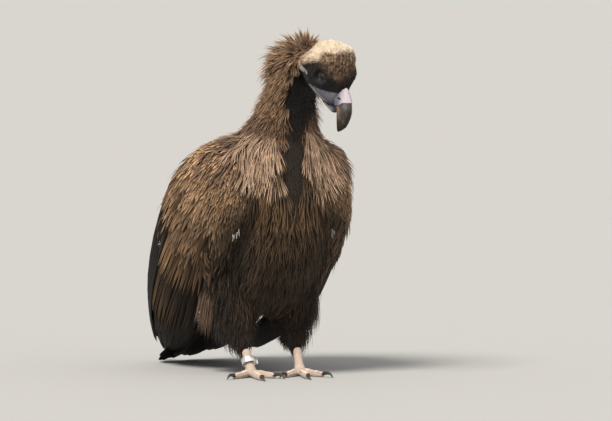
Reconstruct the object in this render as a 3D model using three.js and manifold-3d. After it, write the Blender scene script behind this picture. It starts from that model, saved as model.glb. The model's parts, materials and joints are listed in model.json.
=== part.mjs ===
// A cinereous vulture (Eurasian black vulture), standing with folded wings and its head turned and bowed.
// Millimetres, +Z up. The bird faces -Y, so its right side is on -X. The floor is Z = 0.
// Every part of the body is one closed solid, and neighbours are parted by thin cuts.
import * as THREE from "three";
import { mergeVertices } from "three/addons/utils/BufferGeometryUtils.js";
import Module from "manifold-3d";

const wasm = await Module();
wasm.setup();

// ---- driving dimensions ----
const GAP = 0.35; // the thin cut between neighbouring parts
const HEAD_AT = [52, -170, 581]; // midway between the eyes
const HEAD_TURN = 25; // degrees, towards the bird's left
const HEAD_BOW = 45; // degrees, bill down
const EYE_OFFSET = 30; // from the middle of the head to each eye's centre
const EYE_RADIUS = 11;
const SOCKET_RADIUS = 16; // the hollow that shows the eye
const SOCKET_OFFSET = 49;
const NOSTRIL_RADIUS = 2.6;
const FOOT_X = 51; // from the midline to each foot
const FOOT_Y = 20;
const TARSUS_RADIUS = 8.6;
const TOE_RADIUS = 7.2;
const CLAW_LENGTH = 30;
const RING_RADIUS = 13.6;
const RING_HEIGHT = 11;
const RING_LEAN = 33; // degrees, as the shank leans
const SECONDARIES = 8; // feathers in each wing's upper fan
const PRIMARIES = 5; // feathers in each wing's tip
const RECTRICES = 12; // feathers in the tail
const TAIL_LENGTH = 272; // from the rump to the tips
const TAIL_SPREAD = 17; // degrees, over the whole fan
const FEATHER_NOTCH = 13; // between two tips, back from the line of the tips
const FEATHER_RIDGE = 2; // of each shaft over the valleys beside it
const RIGHT = -1;
const LEFT = 1;
const SIDES = [["right", RIGHT], ["left", LEFT]];

const COLOURS = {
  body: 0x3a2c22,
  coverts: 0x57412f,
  flight: 0x1c1713,
  face: 0x14110f,
  horn: 0x4b4744,
  eye: 0x1f130c,
  leg: 0xb9aaa2,
  claw: 0x16130f,
  ring: 0xc9cbc9,
};

// ---- small helpers ----
const vec = (x, y, z) => new THREE.Vector3(x, y, z);
const radians = THREE.MathUtils.degToRad;
const lerp = THREE.MathUtils.lerp;

// The value at t (0 to 1) of a smooth curve through a list of numbers, evenly spaced.
function smooth(values, t) {
  const last = values.length - 1;
  const at = THREE.MathUtils.clamp(t, 0, 1) * last;
  const i = Math.min(Math.floor(at), last - 1);
  const f = at - i;
  const [a, b, c, d] = [-1, 0, 1, 2].map((k) => values[THREE.MathUtils.clamp(i + k, 0, last)]);
  return b + 0.5 * f * (c - a + f * (2 * a - 5 * b + 4 * c - d + f * (3 * (b - c) + d - a)));
}

// Rows of numbers, smoothed column by column.
const smoothRow = (rows, t) => rows[0].map((_, column) => smooth(rows.map((row) => row[column]), t));

// A closed solid from points and triangles, turned right side out.
function solidFrom(points, triangles) {
  const geometry = new THREE.BufferGeometry().setFromPoints(points);
  geometry.setIndex(triangles);
  return solidOf(geometry);
}

function solidOf(geometry) {
  geometry.deleteAttribute("normal");
  geometry.deleteAttribute("uv");
  const merged = mergeVertices(geometry, 1e-4);
  const vertProperties = new Float32Array(merged.getAttribute("position").array);
  const triVerts = new Uint32Array(merged.index.array);
  const build = () => new wasm.Manifold(new wasm.Mesh({ numProp: 3, vertProperties, triVerts }));
  const first = build();
  if (first.volume() > 0) return first;
  for (let i = 0; i < triVerts.length; i += 3) {
    [triVerts[i + 1], triVerts[i + 2]] = [triVerts[i + 2], triVerts[i + 1]];
  }
  return build();
}

// Rings of equal length, joined in order and closed with a fan at each end.
function tube(rings) {
  const n = rings[0].length;
  const points = rings.flat();
  const triangles = [];
  for (let i = 0; i + 1 < rings.length; i++) {
    for (let j = 0; j < n; j++) {
      const [a, b] = [i * n + j, i * n + ((j + 1) % n)];
      triangles.push(a, b, a + n, b, b + n, a + n);
    }
  }
  const middle = (ring) => ring.reduce((sum, p) => sum.add(p), vec(0, 0, 0)).divideScalar(n);
  const [start, end] = [points.length, points.length + 1];
  points.push(middle(rings[0]), middle(rings.at(-1)));
  const lastRing = (rings.length - 1) * n;
  for (let j = 0; j < n; j++) {
    triangles.push(start, (j + 1) % n, j, end, lastRing + j, lastRing + ((j + 1) % n));
  }
  return solidFrom(points, triangles);
}

// A closed plate between two grids of points, outer[i][j] and inner[i][j].
function plate(outer, inner) {
  const [rows, columns] = [outer.length, outer[0].length];
  const points = [...outer.flat(), ...inner.flat()];
  const out = (i, j) => i * columns + j;
  const back = (i, j) => rows * columns + i * columns + j;
  const triangles = [];
  const quad = (a, b, c, d) => triangles.push(a, b, c, a, c, d);
  for (let i = 0; i + 1 < rows; i++) {
    for (let j = 0; j + 1 < columns; j++) {
      quad(out(i, j), out(i, j + 1), out(i + 1, j + 1), out(i + 1, j));
      quad(back(i, j), back(i + 1, j), back(i + 1, j + 1), back(i, j + 1));
    }
    quad(out(i, 0), out(i + 1, 0), back(i + 1, 0), back(i, 0));
    quad(out(i + 1, columns - 1), out(i, columns - 1), back(i, columns - 1), back(i + 1, columns - 1));
  }
  for (let j = 0; j + 1 < columns; j++) {
    quad(out(0, j + 1), out(0, j), back(0, j), back(0, j + 1));
    quad(out(rows - 1, j), out(rows - 1, j + 1), back(rows - 1, j + 1), back(rows - 1, j));
  }
  return solidFrom(points, triangles);
}

// An oval ring through a low point and a high point, with a half width along side. power above 2 is boxier.
function oval(low, high, halfWidth, side, count, power = 2, grow = 0) {
  const centre = low.clone().lerp(high, 0.5);
  const up = high.clone().sub(low).multiplyScalar(0.5);
  const stretch = (up.length() + grow) / up.length();
  const bend = (value) => Math.sign(value) * Math.abs(value) ** (2 / power);
  return Array.from({ length: count }, (_, k) => {
    const angle = (2 * Math.PI * k) / count;
    return centre
      .clone()
      .addScaledVector(up, bend(Math.cos(angle)) * stretch)
      .addScaledVector(side, bend(Math.sin(angle)) * (halfWidth + grow));
  });
}

// A round limb through centres with radii, each row [x, y, z, radius], flattened where it meets the floor.
function limb(rows, { rings = 10, sides = 10, grow = 0, swell = () => 1 } = {}) {
  const at = (t) => smoothRow(rows, t);
  const place = (t) => vec(...at(t).slice(0, 3));
  const made = [];
  for (let i = 0; i <= rings; i++) {
    const t = i / rings;
    const along = place(Math.min(t + 0.02, 1)).sub(place(Math.max(t - 0.02, 0))).normalize();
    const across = vec(1, 0, 0).addScaledVector(along, -along.x).normalize();
    const up = across.clone().cross(along);
    const radius = at(t)[3] * swell(t) + grow;
    const centre = place(t).addScaledVector(along, lerp(-grow, grow, t));
    const reach = up.clone().multiplyScalar(radius);
    const ring = oval(centre.clone().sub(reach), centre.clone().add(reach), radius, across, sides);
    made.push(ring.map((point) => point.setZ(Math.max(point.z, 0))));
  }
  return tube(made);
}

// The largest separate body of a solid, so that a cut leaves no crumbs.
function largest(solid) {
  const bodies = solid.decompose();
  return bodies.reduce((best, body) => (body.volume() > best.volume() ? body : best), bodies[0]);
}

function without(solid, ...cutters) {
  return largest(cutters.reduce((rest, cutter) => rest.subtract(cutter), solid));
}

// ---- trunk and neck, one smooth form parted at the shoulders ----
// Rows of [front x, y, z, back x, y, z, half width] from the rump, round the belly and up to the ruff's top.
const BODY_ROWS = [
  [0, 200, 92, 0, 278, 142, 34],
  [0, 136, 104, 0, 256, 176, 52],
  [0, 62, 116, 0, 234, 212, 77],
  [0, -10, 160, 0, 208, 264, 97],
  [0, -66, 228, 0, 182, 326, 105],
  [0, -90, 300, 0, 155, 384, 107],
  [0, -92, 368, 0, 128, 436, 104],
  [1, -84, 428, 0, 104, 476, 97],
  [7, -78, 474, 5, 62, 508, 75],
  [13, -82, 514, 9, 34, 546, 60],
  [18, -94, 554, 11, 16, 590, 54],
  [22, -108, 588, 11, -8, 630, 50],
  [30, -118, 618, 15, -36, 660, 41],
  [34, -108, 646, 24, -66, 676, 14],
];
const BODY_RINGS = 22;
const SHOULDER_RING = 14; // the neck starts here

function bodyRing(at, grow, lift = 0) {
  const [fx, fy, fz, bx, by, bz, half] = smoothRow(BODY_ROWS, at / BODY_RINGS);
  const [front, back] = [vec(fx, fy, fz), vec(bx, by, bz)];
  const axis = back.clone().sub(front).cross(vec(-1, 0, 0)).normalize();
  const ring = oval(front, back, half, vec(1, 0, 0), 18, 2.3, grow);
  return ring.map((point) => point.addScaledVector(axis, lift));
}

function trunk(grow = 0) {
  const rings = Array.from({ length: SHOULDER_RING + 1 }, (_, i) => bodyRing(i, grow));
  return tube([...rings.slice(0, -1), bodyRing(SHOULDER_RING, grow, grow)]);
}

function neck(grow = 0) {
  const count = BODY_RINGS - SHOULDER_RING;
  const rings = Array.from({ length: count }, (_, i) => bodyRing(SHOULDER_RING + 1 + i, grow));
  return tube([bodyRing(SHOULDER_RING, grow, GAP - grow), ...rings]);
}

// ---- head, in its own directions: forward, up and right of the point between the eyes ----
const headTurn = new THREE.Quaternion()
  .setFromAxisAngle(vec(0, 0, 1), radians(HEAD_TURN))
  .multiply(new THREE.Quaternion().setFromAxisAngle(vec(1, 0, 0), radians(HEAD_BOW)));

function headPoint(forward, up, right) {
  return vec(-right, -forward, up).applyQuaternion(headTurn).add(vec(...HEAD_AT));
}

const headRight = vec(-1, 0, 0).applyQuaternion(headTurn);

// Rows of [forward, low edge, high edge, half width]; the low and high edges lean with the skull.
const SKULL_ROWS = [
  [-80, -4, 30, 16],
  [-74, -20, 47, 31],
  [-56, -36, 62, 43],
  [-32, -43, 68, 48],
  [-10, -42, 62, 46],
  [10, -39, 46, 38],
  [24, -36, 28, 24],
  [31, -32, 15, 15],
];
// Rows of [culmen forward, culmen up, edge forward, edge up, half width] from the brow to the hook.
const UPPER_BILL_ROWS = [
  [18, 19, 10, -23, 18],
  [31, 18, 20, -24, 15.5],
  [45, 13.5, 32, -26, 13.5],
  [59, 5, 41, -29, 12],
  [73, -8, 45, -32, 10.5],
  [81, -25, 50, -38, 8.5],
  [83, -42, 59, -48, 6],
  [75, -60, 69, -58, 1.8],
];
// Rows of [forward, low edge, high edge, half width] from the jaw's corner to its tip.
const LOWER_BILL_ROWS = [
  [-2, -38, -25, 20],
  [14, -40, -26, 17],
  [28, -41, -28, 13],
  [38, -41, -33, 9],
  [43, -40, -36, 5],
];

function skull(grow = 0) {
  const rings = 12;
  const made = [];
  for (let i = 0; i <= rings; i++) {
    const [forward, low, high, half] = smoothRow(SKULL_ROWS, i / rings);
    const at = forward + lerp(-grow, grow, i / rings);
    made.push(oval(headPoint(at, low, 0), headPoint(at, high, 0), half, headRight, 16, 2.4, grow));
  }
  return tube(made);
}

function upperBill(grow = 0) {
  const rings = 12;
  const made = [];
  for (let i = 0; i <= rings; i++) {
    const [cf, cu, ef, eu, half] = smoothRow(UPPER_BILL_ROWS, i / rings);
    made.push(oval(headPoint(ef, eu, 0), headPoint(cf, cu, 0), half, headRight, 10, 2.2, grow));
  }
  return tube(made);
}

function lowerBill() {
  const rings = 5;
  const made = [];
  for (let i = 0; i <= rings; i++) {
    const [forward, low, high, half] = smoothRow(LOWER_BILL_ROWS, i / rings);
    made.push(oval(headPoint(forward, low, 0), headPoint(forward, high, 0), half, headRight, 8, 2.4));
  }
  return tube(made);
}

function ball(forward, up, right, radius) {
  const centre = headPoint(forward, up, right);
  return solidOf(new THREE.SphereGeometry(radius, 10, 8).translate(centre.x, centre.y, centre.z));
}

const eye = (side, grow = 0) => ball(-6, 13, -side * EYE_OFFSET, EYE_RADIUS + grow);
const socket = (side) => ball(-4, 12, -side * SOCKET_OFFSET, SOCKET_RADIUS);
const nostril = (side) => ball(39, -4, -side * 15, NOSTRIL_RADIUS);

// ---- folded wing ----
// Rows down the wing: [low y, low z, high y, high z, x at low edge, x at middle, x at high edge, thickness].
const WING_ROWS = [
  [-72, 356, -52, 432, 44, 62, 44, 22],
  [-72, 322, -18, 470, 92, 126, 62, 60],
  [-31, 278, 70, 488, 122, 156, 30, 80],
  [30, 228, 176, 464, 128, 172, 8, 80],
  [88, 172, 248, 404, 122, 175, 6, 54],
  [160, 114, 304, 322, 113, 175, 7, 34],
  [236, 66, 348, 234, 102, 166, 9, 22],
  [306, 36, 384, 150, 94, 146, 18, 14],
  [378, 18, 430, 86, 88, 118, 42, 9],
  [440, 8, 474, 50, 74, 90, 58, 6],
];
const ROOF_POWER = 3.8; // how square the wing's shoulder line is over the back
const CHEST_POWER = 3; // and how it rounds in to its front edge

// A point on the folded wing: s from wrist to tip, v from the front edge (-1) to the back (1), depth inwards.
function wingPoint(side, s, v, depth = 0) {
  const [ly, lz, hy, hz, xLow, xMiddle, xHigh] = smoothRow(WING_ROWS, s);
  const share = (v + 1) / 2;
  const x = v > 0 ? lerp(xMiddle, xHigh, v ** ROOF_POWER) : lerp(xMiddle, xLow, (-v) ** CHEST_POWER);
  // Near the back the inward direction turns from sideways to down and forward.
  const tilt = Math.max(0, v) ** 2;
  const down = vec(0, ly - hy, lz - hz).normalize();
  const inward = vec(-1, 0, 0).multiplyScalar(1 - tilt).addScaledVector(down, tilt).normalize();
  const p = vec(x, lerp(ly, hy, share), lerp(lz, hz, share)).addScaledVector(inward, depth);
  return vec(side * Math.max(p.x, 2), p.y, p.z);
}

const S_PER_MM = 1 / 620; // of the wing's own way down, for one millimetre
const ARM_END = 0.6; // the arm and its coverts end here, and the flight feathers run on
const wingThickness = (s) => smoothRow(WING_ROWS, s)[7];

function wingArm(side) {
  const [rows, columns] = [8, 8];
  const grid = (depthAt) =>
    Array.from({ length: rows + 1 }, (_, i) =>
      Array.from({ length: columns + 1 }, (_, j) => {
        const s = ARM_END * (i / rows);
        const v = lerp(-1, 1, j / columns);
        return wingPoint(side, s, v, depthAt(s));
      }),
    );
  return plate(grid(() => 0), grid((s) => wingThickness(s)));
}

// A fan of feathers in the wing's surface, on from the arm's end, each with a ridged shaft and a pointed tip.
// Its columns run from one valley over a shaft to the next valley, at v between vFrom and vTo.
function wingFan(side, { feathers, vFrom, vTo, tipAt, depthAt, thick }) {
  const [rows, columns] = [4, 2 * feathers];
  const from = ARM_END + GAP * S_PER_MM;
  const grid = (extra) =>
    Array.from({ length: rows + 1 }, (_, i) =>
      Array.from({ length: columns + 1 }, (_, j) => {
        const valley = j % 2 === 0 ? 1 : 0;
        const v = lerp(vFrom, vTo, j / columns);
        const tip = tipAt(j / columns) - valley * FEATHER_NOTCH * S_PER_MM;
        return wingPoint(side, lerp(from, tip, i / rows), v, depthAt(v) + valley * FEATHER_RIDGE + extra);
      }),
    );
  return plate(grid(0), grid(thick));
}

const secondaries = (side) =>
  wingFan(side, {
    feathers: SECONDARIES,
    vFrom: -0.5,
    vTo: 1,
    tipAt: (share) => lerp(0.79, 0.89, Math.sin(Math.PI * (0.15 + 0.6 * share))),
    depthAt: () => 1,
    thick: 9,
  });

// The primaries lie under the secondaries, and come to the surface at the wing's front edge.
const primaries = (side) =>
  wingFan(side, {
    feathers: PRIMARIES,
    vFrom: -0.95,
    vTo: 0.4,
    tipAt: (share) => lerp(0.88, 1, Math.sin(Math.PI * 0.5 * Math.min(1, 0.3 + share))),
    depthAt: (v) => (v < -0.6 ? 2 : 14),
    thick: 6,
  });

// ---- tail: a fan of long feathers from the rump to the floor ----
const TAIL_ROOT = [-4, 218, 150];
const TAIL_TIP = [-34, 430, 17.5];
const TAIL_ROLL = 14; // degrees, the right corner lower
const TAIL_ROOT_WIDTH = 46;
const TAIL_ARCH = 5; // the corners lie this far under the middle

function tail(grow = 0) {
  const along = vec(...TAIL_TIP).sub(vec(...TAIL_ROOT)).normalize();
  const flat = vec(1, 0, 0).applyAxisAngle(vec(0, 1, 0), radians(-TAIL_ROLL));
  const across = flat.addScaledVector(along, -flat.dot(along)).normalize();
  const up = across.clone().cross(along).normalize();
  const [rows, columns] = [4, 2 * RECTRICES];
  const grid = (lift, least) =>
    Array.from({ length: rows + 1 }, (_, i) =>
      Array.from({ length: columns + 1 }, (_, j) => {
        const share = j / columns - 0.5;
        const valley = j % 2 === 0 ? 1 : 0;
        const direction = along.clone().applyAxisAngle(up, -radians(TAIL_SPREAD * share));
        const length = TAIL_LENGTH * (1 - 0.04 * (2 * share) ** 2) - valley * FEATHER_NOTCH;
        const point = vec(...TAIL_ROOT)
          .addScaledVector(across, share * (TAIL_ROOT_WIDTH + 2 * grow))
          .addScaledVector(direction, (length + grow) * (i / rows))
          .addScaledVector(up, lift - TAIL_ARCH * (2 * share) ** 2 - valley * FEATHER_RIDGE);
        return point.setZ(Math.max(point.z, least));
      }),
    );
  return plate(grid(4 + grow, 4 + grow), grid(-3 - grow, 0));
}

// ---- legs ----
// Rows of [x, y, z, radius] down the feathered leg, for the left side.
const THIGH_ROWS = [
  [62, 78, 214, 56],
  [58, 88, 166, 55],
  [56, 88, 118, 51],
  [54, 74, 78, 41],
  [53, 56, 56, 28],
  [53, 44, 47, 15],
];
const HOCK = [55, 66, 82];
const mirrored = (rows, side) => rows.map(([x, ...rest]) => [side * x, ...rest]);

const thigh = (side, grow = 0) => limb(mirrored(THIGH_ROWS, side), { rings: 8, sides: 14, grow });

function tarsus(side, grow = 0) {
  const rows = [
    [...HOCK, TARSUS_RADIUS],
    [FOOT_X + 2, FOOT_Y + 22, 46, TARSUS_RADIUS],
    [FOOT_X, FOOT_Y + 7, 24, TARSUS_RADIUS],
    [FOOT_X, FOOT_Y, 8, TARSUS_RADIUS + 3.4],
    [FOOT_X, FOOT_Y - 2, -3, TARSUS_RADIUS + 1],
  ];
  return limb(mirrored(rows, side), { rings: 6, sides: 9, grow });
}

// Toes by name: heading in degrees from straight ahead, outwards positive, and length.
const TOES = {
  right: { outer: [52, 60], middle: [6, 84], inner: [-32, 58], hind: [192, 36] },
  left: { outer: [28, 60], middle: [-10, 84], inner: [-48, 58], hind: [166, 36] },
};

const toeWay = (side, heading) => vec(side * Math.sin(radians(heading)), -Math.cos(radians(heading)), 0);
const toeAt = (side, way, distance, z) => [side * FOOT_X + way.x * distance, FOOT_Y + way.y * distance, z];

function toe(side, [heading, length], grow = 0) {
  const way = toeWay(side, heading);
  const rows = [
    [...toeAt(side, way, 2, 9), TOE_RADIUS + 1.6],
    [...toeAt(side, way, length * 0.4, 6.6), TOE_RADIUS],
    [...toeAt(side, way, length * 0.75, 5.2), TOE_RADIUS - 0.6],
    [...toeAt(side, way, length, 4.8), TOE_RADIUS - 1.6],
  ];
  const knuckles = length / 20;
  const swell = (t) => 1 + 0.08 * Math.cos(2 * Math.PI * knuckles * t);
  return limb(rows, { rings: 6, sides: 7, grow, swell });
}

function claw(side, [heading, length]) {
  const way = toeWay(side, heading);
  const reach = CLAW_LENGTH * (length < 50 ? 0.85 : 1);
  const rows = [
    [...toeAt(side, way, length - 4, 6.4), 4.4],
    [...toeAt(side, way, length + reach * 0.35, 9.2), 3.8],
    [...toeAt(side, way, length + reach * 0.68, 7), 2.6],
    [...toeAt(side, way, length + reach * 0.86, 0.9), 1.2],
  ];
  return limb(rows, { rings: 5, sides: 5 });
}

// ---- leg ring: a split band round the right shank, closed by a small folded lug ----
function legRing() {
  const wall = 1.3;
  const profile = [
    [RING_RADIUS - wall, -RING_HEIGHT / 2],
    [RING_RADIUS, -RING_HEIGHT / 2],
    [RING_RADIUS, RING_HEIGHT / 2],
    [RING_RADIUS - wall, RING_HEIGHT / 2],
    [RING_RADIUS - wall, -RING_HEIGHT / 2],
  ].map(([x, y]) => new THREE.Vector2(x, y));
  const band = new THREE.LatheGeometry(profile, 20).rotateX(Math.PI / 2);
  const lug = new THREE.BoxGeometry(5.5, 2.6, RING_HEIGHT).translate(RING_RADIUS + 2.2, 0, 0);
  const tilt = new THREE.Matrix4().makeRotationX(radians(-RING_LEAN));
  const middle = [RIGHT * (FOOT_X + 0.5), FOOT_Y + 10.5, 29.5];
  const place = new THREE.Matrix4().makeTranslation(...middle).multiply(tilt);
  return solidOf(band.applyMatrix4(place)).add(solidOf(lug.applyMatrix4(place)));
}

// ---- the whole bird ----
const bird = new THREE.Group();

function addPart(name, solid, colour, roughness = 0.85) {
  const mesh = solid.getMesh();
  const geometry = new THREE.BufferGeometry();
  geometry.setAttribute("position", new THREE.BufferAttribute(new Float32Array(mesh.vertProperties), 3));
  geometry.setIndex(new THREE.BufferAttribute(new Uint32Array(mesh.triVerts), 1));
  geometry.computeVertexNormals();
  const material = new THREE.MeshStandardMaterial({ color: COLOURS[colour], roughness, metalness: 0 });
  const part = new THREE.Mesh(geometry, material);
  part.name = name;
  bird.add(part);
}

const trunkCut = trunk(GAP);
const neckCut = neck(GAP);
const skullCut = skull(GAP);
addPart("trunk", trunk(), "body");
addPart("neck", without(neck(), skullCut), "body");
addPart("bill_upper", without(upperBill(), skullCut, nostril(RIGHT), nostril(LEFT)), "horn", 0.35);
addPart("bill_lower", without(lowerBill(), skullCut, upperBill(GAP)), "horn", 0.4);
const eyeCuts = [RIGHT, LEFT].flatMap((side) => [socket(side), eye(side, GAP)]);
addPart("head", without(skull(), ...eyeCuts), "face");

const tailCut = tail(GAP);
addPart("tail", without(tail(), trunkCut), "flight");

for (const [name, side] of SIDES) {
  addPart("eye_" + name, eye(side), "eye", 0.1);
  const thighCut = thigh(side, GAP);
  addPart("thigh_" + name, without(thigh(side), trunkCut), "body");
  const armPart = without(wingArm(side), trunkCut, neckCut, thighCut);
  addPart("wing_arm_" + name, armPart, "coverts");
  addPart("wing_secondaries_" + name, without(secondaries(side), trunkCut, thighCut, tailCut), "coverts");
  addPart("wing_primaries_" + name, without(primaries(side), trunkCut, thighCut, tailCut), "flight");
  addPart("shank_" + name, without(tarsus(side), thighCut), "leg", 0.7);
  const footCuts = [tarsus(side, GAP)];
  for (const [digit, size] of Object.entries(TOES[name])) {
    addPart(`toe_${digit}_${name}`, without(toe(side, size), ...footCuts), "leg", 0.7);
    footCuts.push(toe(side, size, GAP));
  }
  for (const [digit, size] of Object.entries(TOES[name])) {
    addPart(`claw_${digit}_${name}`, without(claw(side, size), ...footCuts), "claw", 0.4);
  }
}
addPart("leg_ring", legRing(), "ring", 0.5);

// The origin is on the floor, under the middle of the bird's own box.
const box = new THREE.Box3().setFromObject(bird);
bird.position.set(-(box.min.x + box.max.x) / 2, -(box.min.y + box.max.y) / 2, -box.min.z);

export default bird;
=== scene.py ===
"""A life-size cinereous vulture, standing with folded wings, its head bowed and turned to its left.

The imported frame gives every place. One skin stands for the nodes of flesh. Feathers, down and scales
are closed vanes laid over it, tract by tract, from the tail forwards to the face.
"""

import json
import logging
import math
from dataclasses import dataclass, field
from enum import Enum
from typing import Callable

import bpy
import numpy as np
from mathutils import Matrix, Vector
from mathutils.bvhtree import BVHTree
from mathutils.kdtree import KDTree

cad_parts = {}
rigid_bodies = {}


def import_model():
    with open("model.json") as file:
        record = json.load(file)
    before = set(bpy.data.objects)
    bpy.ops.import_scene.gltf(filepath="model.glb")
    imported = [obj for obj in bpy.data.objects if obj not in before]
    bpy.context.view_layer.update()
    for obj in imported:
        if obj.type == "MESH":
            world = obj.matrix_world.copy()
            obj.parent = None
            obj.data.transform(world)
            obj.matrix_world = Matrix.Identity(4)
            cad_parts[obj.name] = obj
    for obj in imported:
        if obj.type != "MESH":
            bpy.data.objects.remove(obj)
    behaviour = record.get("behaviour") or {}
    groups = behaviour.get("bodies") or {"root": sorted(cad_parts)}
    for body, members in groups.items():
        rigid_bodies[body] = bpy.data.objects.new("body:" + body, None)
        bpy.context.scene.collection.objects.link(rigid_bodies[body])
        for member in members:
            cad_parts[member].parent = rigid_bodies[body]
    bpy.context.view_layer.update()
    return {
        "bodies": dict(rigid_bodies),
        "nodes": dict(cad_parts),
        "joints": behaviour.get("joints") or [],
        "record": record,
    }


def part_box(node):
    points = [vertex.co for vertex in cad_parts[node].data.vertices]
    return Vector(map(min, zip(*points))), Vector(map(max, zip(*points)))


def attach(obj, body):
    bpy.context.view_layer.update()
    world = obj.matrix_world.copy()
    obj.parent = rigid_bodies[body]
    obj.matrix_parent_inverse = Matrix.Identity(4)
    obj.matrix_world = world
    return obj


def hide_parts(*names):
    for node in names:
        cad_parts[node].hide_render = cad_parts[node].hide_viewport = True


log = logging.getLogger("vulture")

Array = np.ndarray
Thing = bpy.types.Object
Material = bpy.types.Material
Socket = bpy.types.NodeSocket
Items = bpy.types.bpy_prop_collection
Colour = tuple[float, float, float]
Curve = Callable[[Array], Array]

MM = 0.001
DOWN = np.array([0.0, 0.0, -1.0])
RIGHT, LEFT = "right", "left"
SIDES = (RIGHT, LEFT)
SIGN = {RIGHT: -1.0, LEFT: 1.0}  # of x in the bird's own frame
WINGS = ["wing_arm_right", "wing_arm_left"]
THIGHS = ["thigh_right", "thigh_left"]
FLESH = ["trunk", "neck", "head", *WINGS, *THIGHS]
DIGITS = ["outer", "middle", "inner", "hind"]
FEET = [f"{limb}_{side}" for side in SIDES for limb in ("shank", *(f"toe_{digit}" for digit in DIGITS))]
PATCH = 0.003  # the size of one vane on the skin's unwrap


# ---------------------------------------------------------------- numbers and places


def unit(vectors: Array) -> Array:
    """Returns the vectors at length one, along their last axis."""
    return vectors / np.maximum(np.linalg.norm(vectors, axis=-1, keepdims=True), 1e-9)


def step(low: float, high: float, value: Array) -> Array:
    """A smooth step from 0 at low to 1 at high.

    Args:
        low: where the step starts, which may lie above high for a falling step.
        high: where it ends.
        value: the numbers to step.

    Returns:
        The stepped numbers.
    """
    t = np.clip((value - low) / (high - low), 0.0, 1.0)
    return t * t * (3 - 2 * t)


def bump(centre: float, width: float, value: Array) -> Array:
    """Returns a soft hill of height 1 at centre, falling to 0.37 at width away."""
    return np.exp(-(((value - centre) / width) ** 2))


def ripple(points: Array, size: float, seed: float = 0.0) -> Array:
    """A smooth random-looking field over space.

    Args:
        points: places in millimetres, one per row.
        size: the length of its patches, in millimetres.
        seed: shifts the field.

    Returns:
        Numbers of about -1 to 1, one per point.
    """
    x, y, z = (points / size).T
    a = np.sin(1.7 * x + 2.3 * y + seed) * np.cos(2.9 * z - 1.1 * x + 1.3 * seed)
    b = np.sin(3.1 * y - 2.2 * z + 2 * seed) * np.cos(4.3 * x + 1.9 * y)
    c = np.sin(6.7 * z + 5.1 * x + 3 * seed) * np.sin(7.3 * y - 4.4 * x)
    return 0.5 * a + 0.35 * b + 0.25 * c


def neck_axis(z: Array) -> tuple[Array, Array]:
    """Returns x and y of the neck's middle at a height, in millimetres of the bird's frame."""
    heights = (440.0, 474.0, 514.0, 554.0, 588.0, 618.0, 646.0)
    return (
        np.interp(z, heights, (0.0, 6.0, 11.0, 14.5, 16.5, 22.5, 29.0)),
        np.interp(z, heights, (-2.0, -8.0, -24.0, -41.0, -58.0, -77.0, -87.0)),
    )


def box_middle(node: str) -> Array:
    """Returns the middle of a node's box, in metres."""
    low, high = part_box(node)
    return (np.array(low) + np.array(high)) / 2


class Stance:
    """The bird's own frame, in millimetres, and the directions of its head.

    The bird's frame has its floor at z = 0, its midline at x = 0 and its breast towards -y.
    The head's frame is forward, up and right of a point inside the skull.
    """

    RING_Y = 30.5  # of the leg ring in the bird's frame
    BOW = math.radians(45)  # of the head below the level
    EYES = (-6.0, 13.0, 38.0)  # forward, up and aside of the eyes in the head's frame

    def __init__(self) -> None:
        self.origin = np.array([0.0, box_middle("leg_ring")[1] - self.RING_Y * MM, 0.0])
        right_eye, left_eye = box_middle("eye_right"), box_middle("eye_left")
        self.right = unit(right_eye - left_eye)
        level = np.cross([0.0, 0.0, 1.0], self.right)
        self.forward = math.cos(self.BOW) * level + math.sin(self.BOW) * DOWN
        self.up = math.sin(self.BOW) * level - math.cos(self.BOW) * DOWN
        between = (right_eye + left_eye) / 2
        self.head = between - self.EYES[0] * MM * self.forward - self.EYES[1] * MM * self.up

    def world(self, points: Array) -> Array:
        """Returns places of the bird's frame in the scene, in metres."""
        return np.asarray(points, float) * MM + self.origin

    def bird(self, points: Array) -> Array:
        """Returns places of the scene in the bird's frame, in millimetres."""
        return (points - self.origin) / MM

    def head_world(self, points: Array) -> Array:
        """Returns places of the head's frame in the scene, in metres."""
        return np.asarray(points, float) * MM @ self.head_axes() + self.head

    def in_head(self, points: Array) -> Array:
        """Returns places of the scene in the head's frame, in millimetres."""
        return (points - self.head) @ self.head_axes().T / MM

    def head_axes(self) -> Array:
        """Returns the head's forward, up and right as rows."""
        return np.array([self.forward, self.up, self.right])


@dataclass
class Places:
    """Points on the skin, with all that a tract asks of them.

    Args:
        at: places in the scene, in metres.
        normal: the skin's normals.
        part: the index in FLESH of the part of the body that each belongs to, or -1 on the feet.
        stance: the bird's frame.
    """

    at: Array
    normal: Array
    part: Array
    stance: Stance
    mm: Array = field(init=False)  # in the bird's frame, in millimetres
    head: Array = field(init=False)  # in the head's frame, in millimetres

    def __post_init__(self) -> None:
        self.mm = self.stance.bird(self.at)
        self.head = self.stance.in_head(self.at)
        self.x, self.y, self.z = self.mm.T

    def on(self, *names: str) -> Array:
        """Returns 1 where a point belongs to one of the named parts."""
        return np.isin(self.part, [FLESH.index(name) for name in names]).astype(float)


# ---------------------------------------------------------------- colours of the bird


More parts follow.
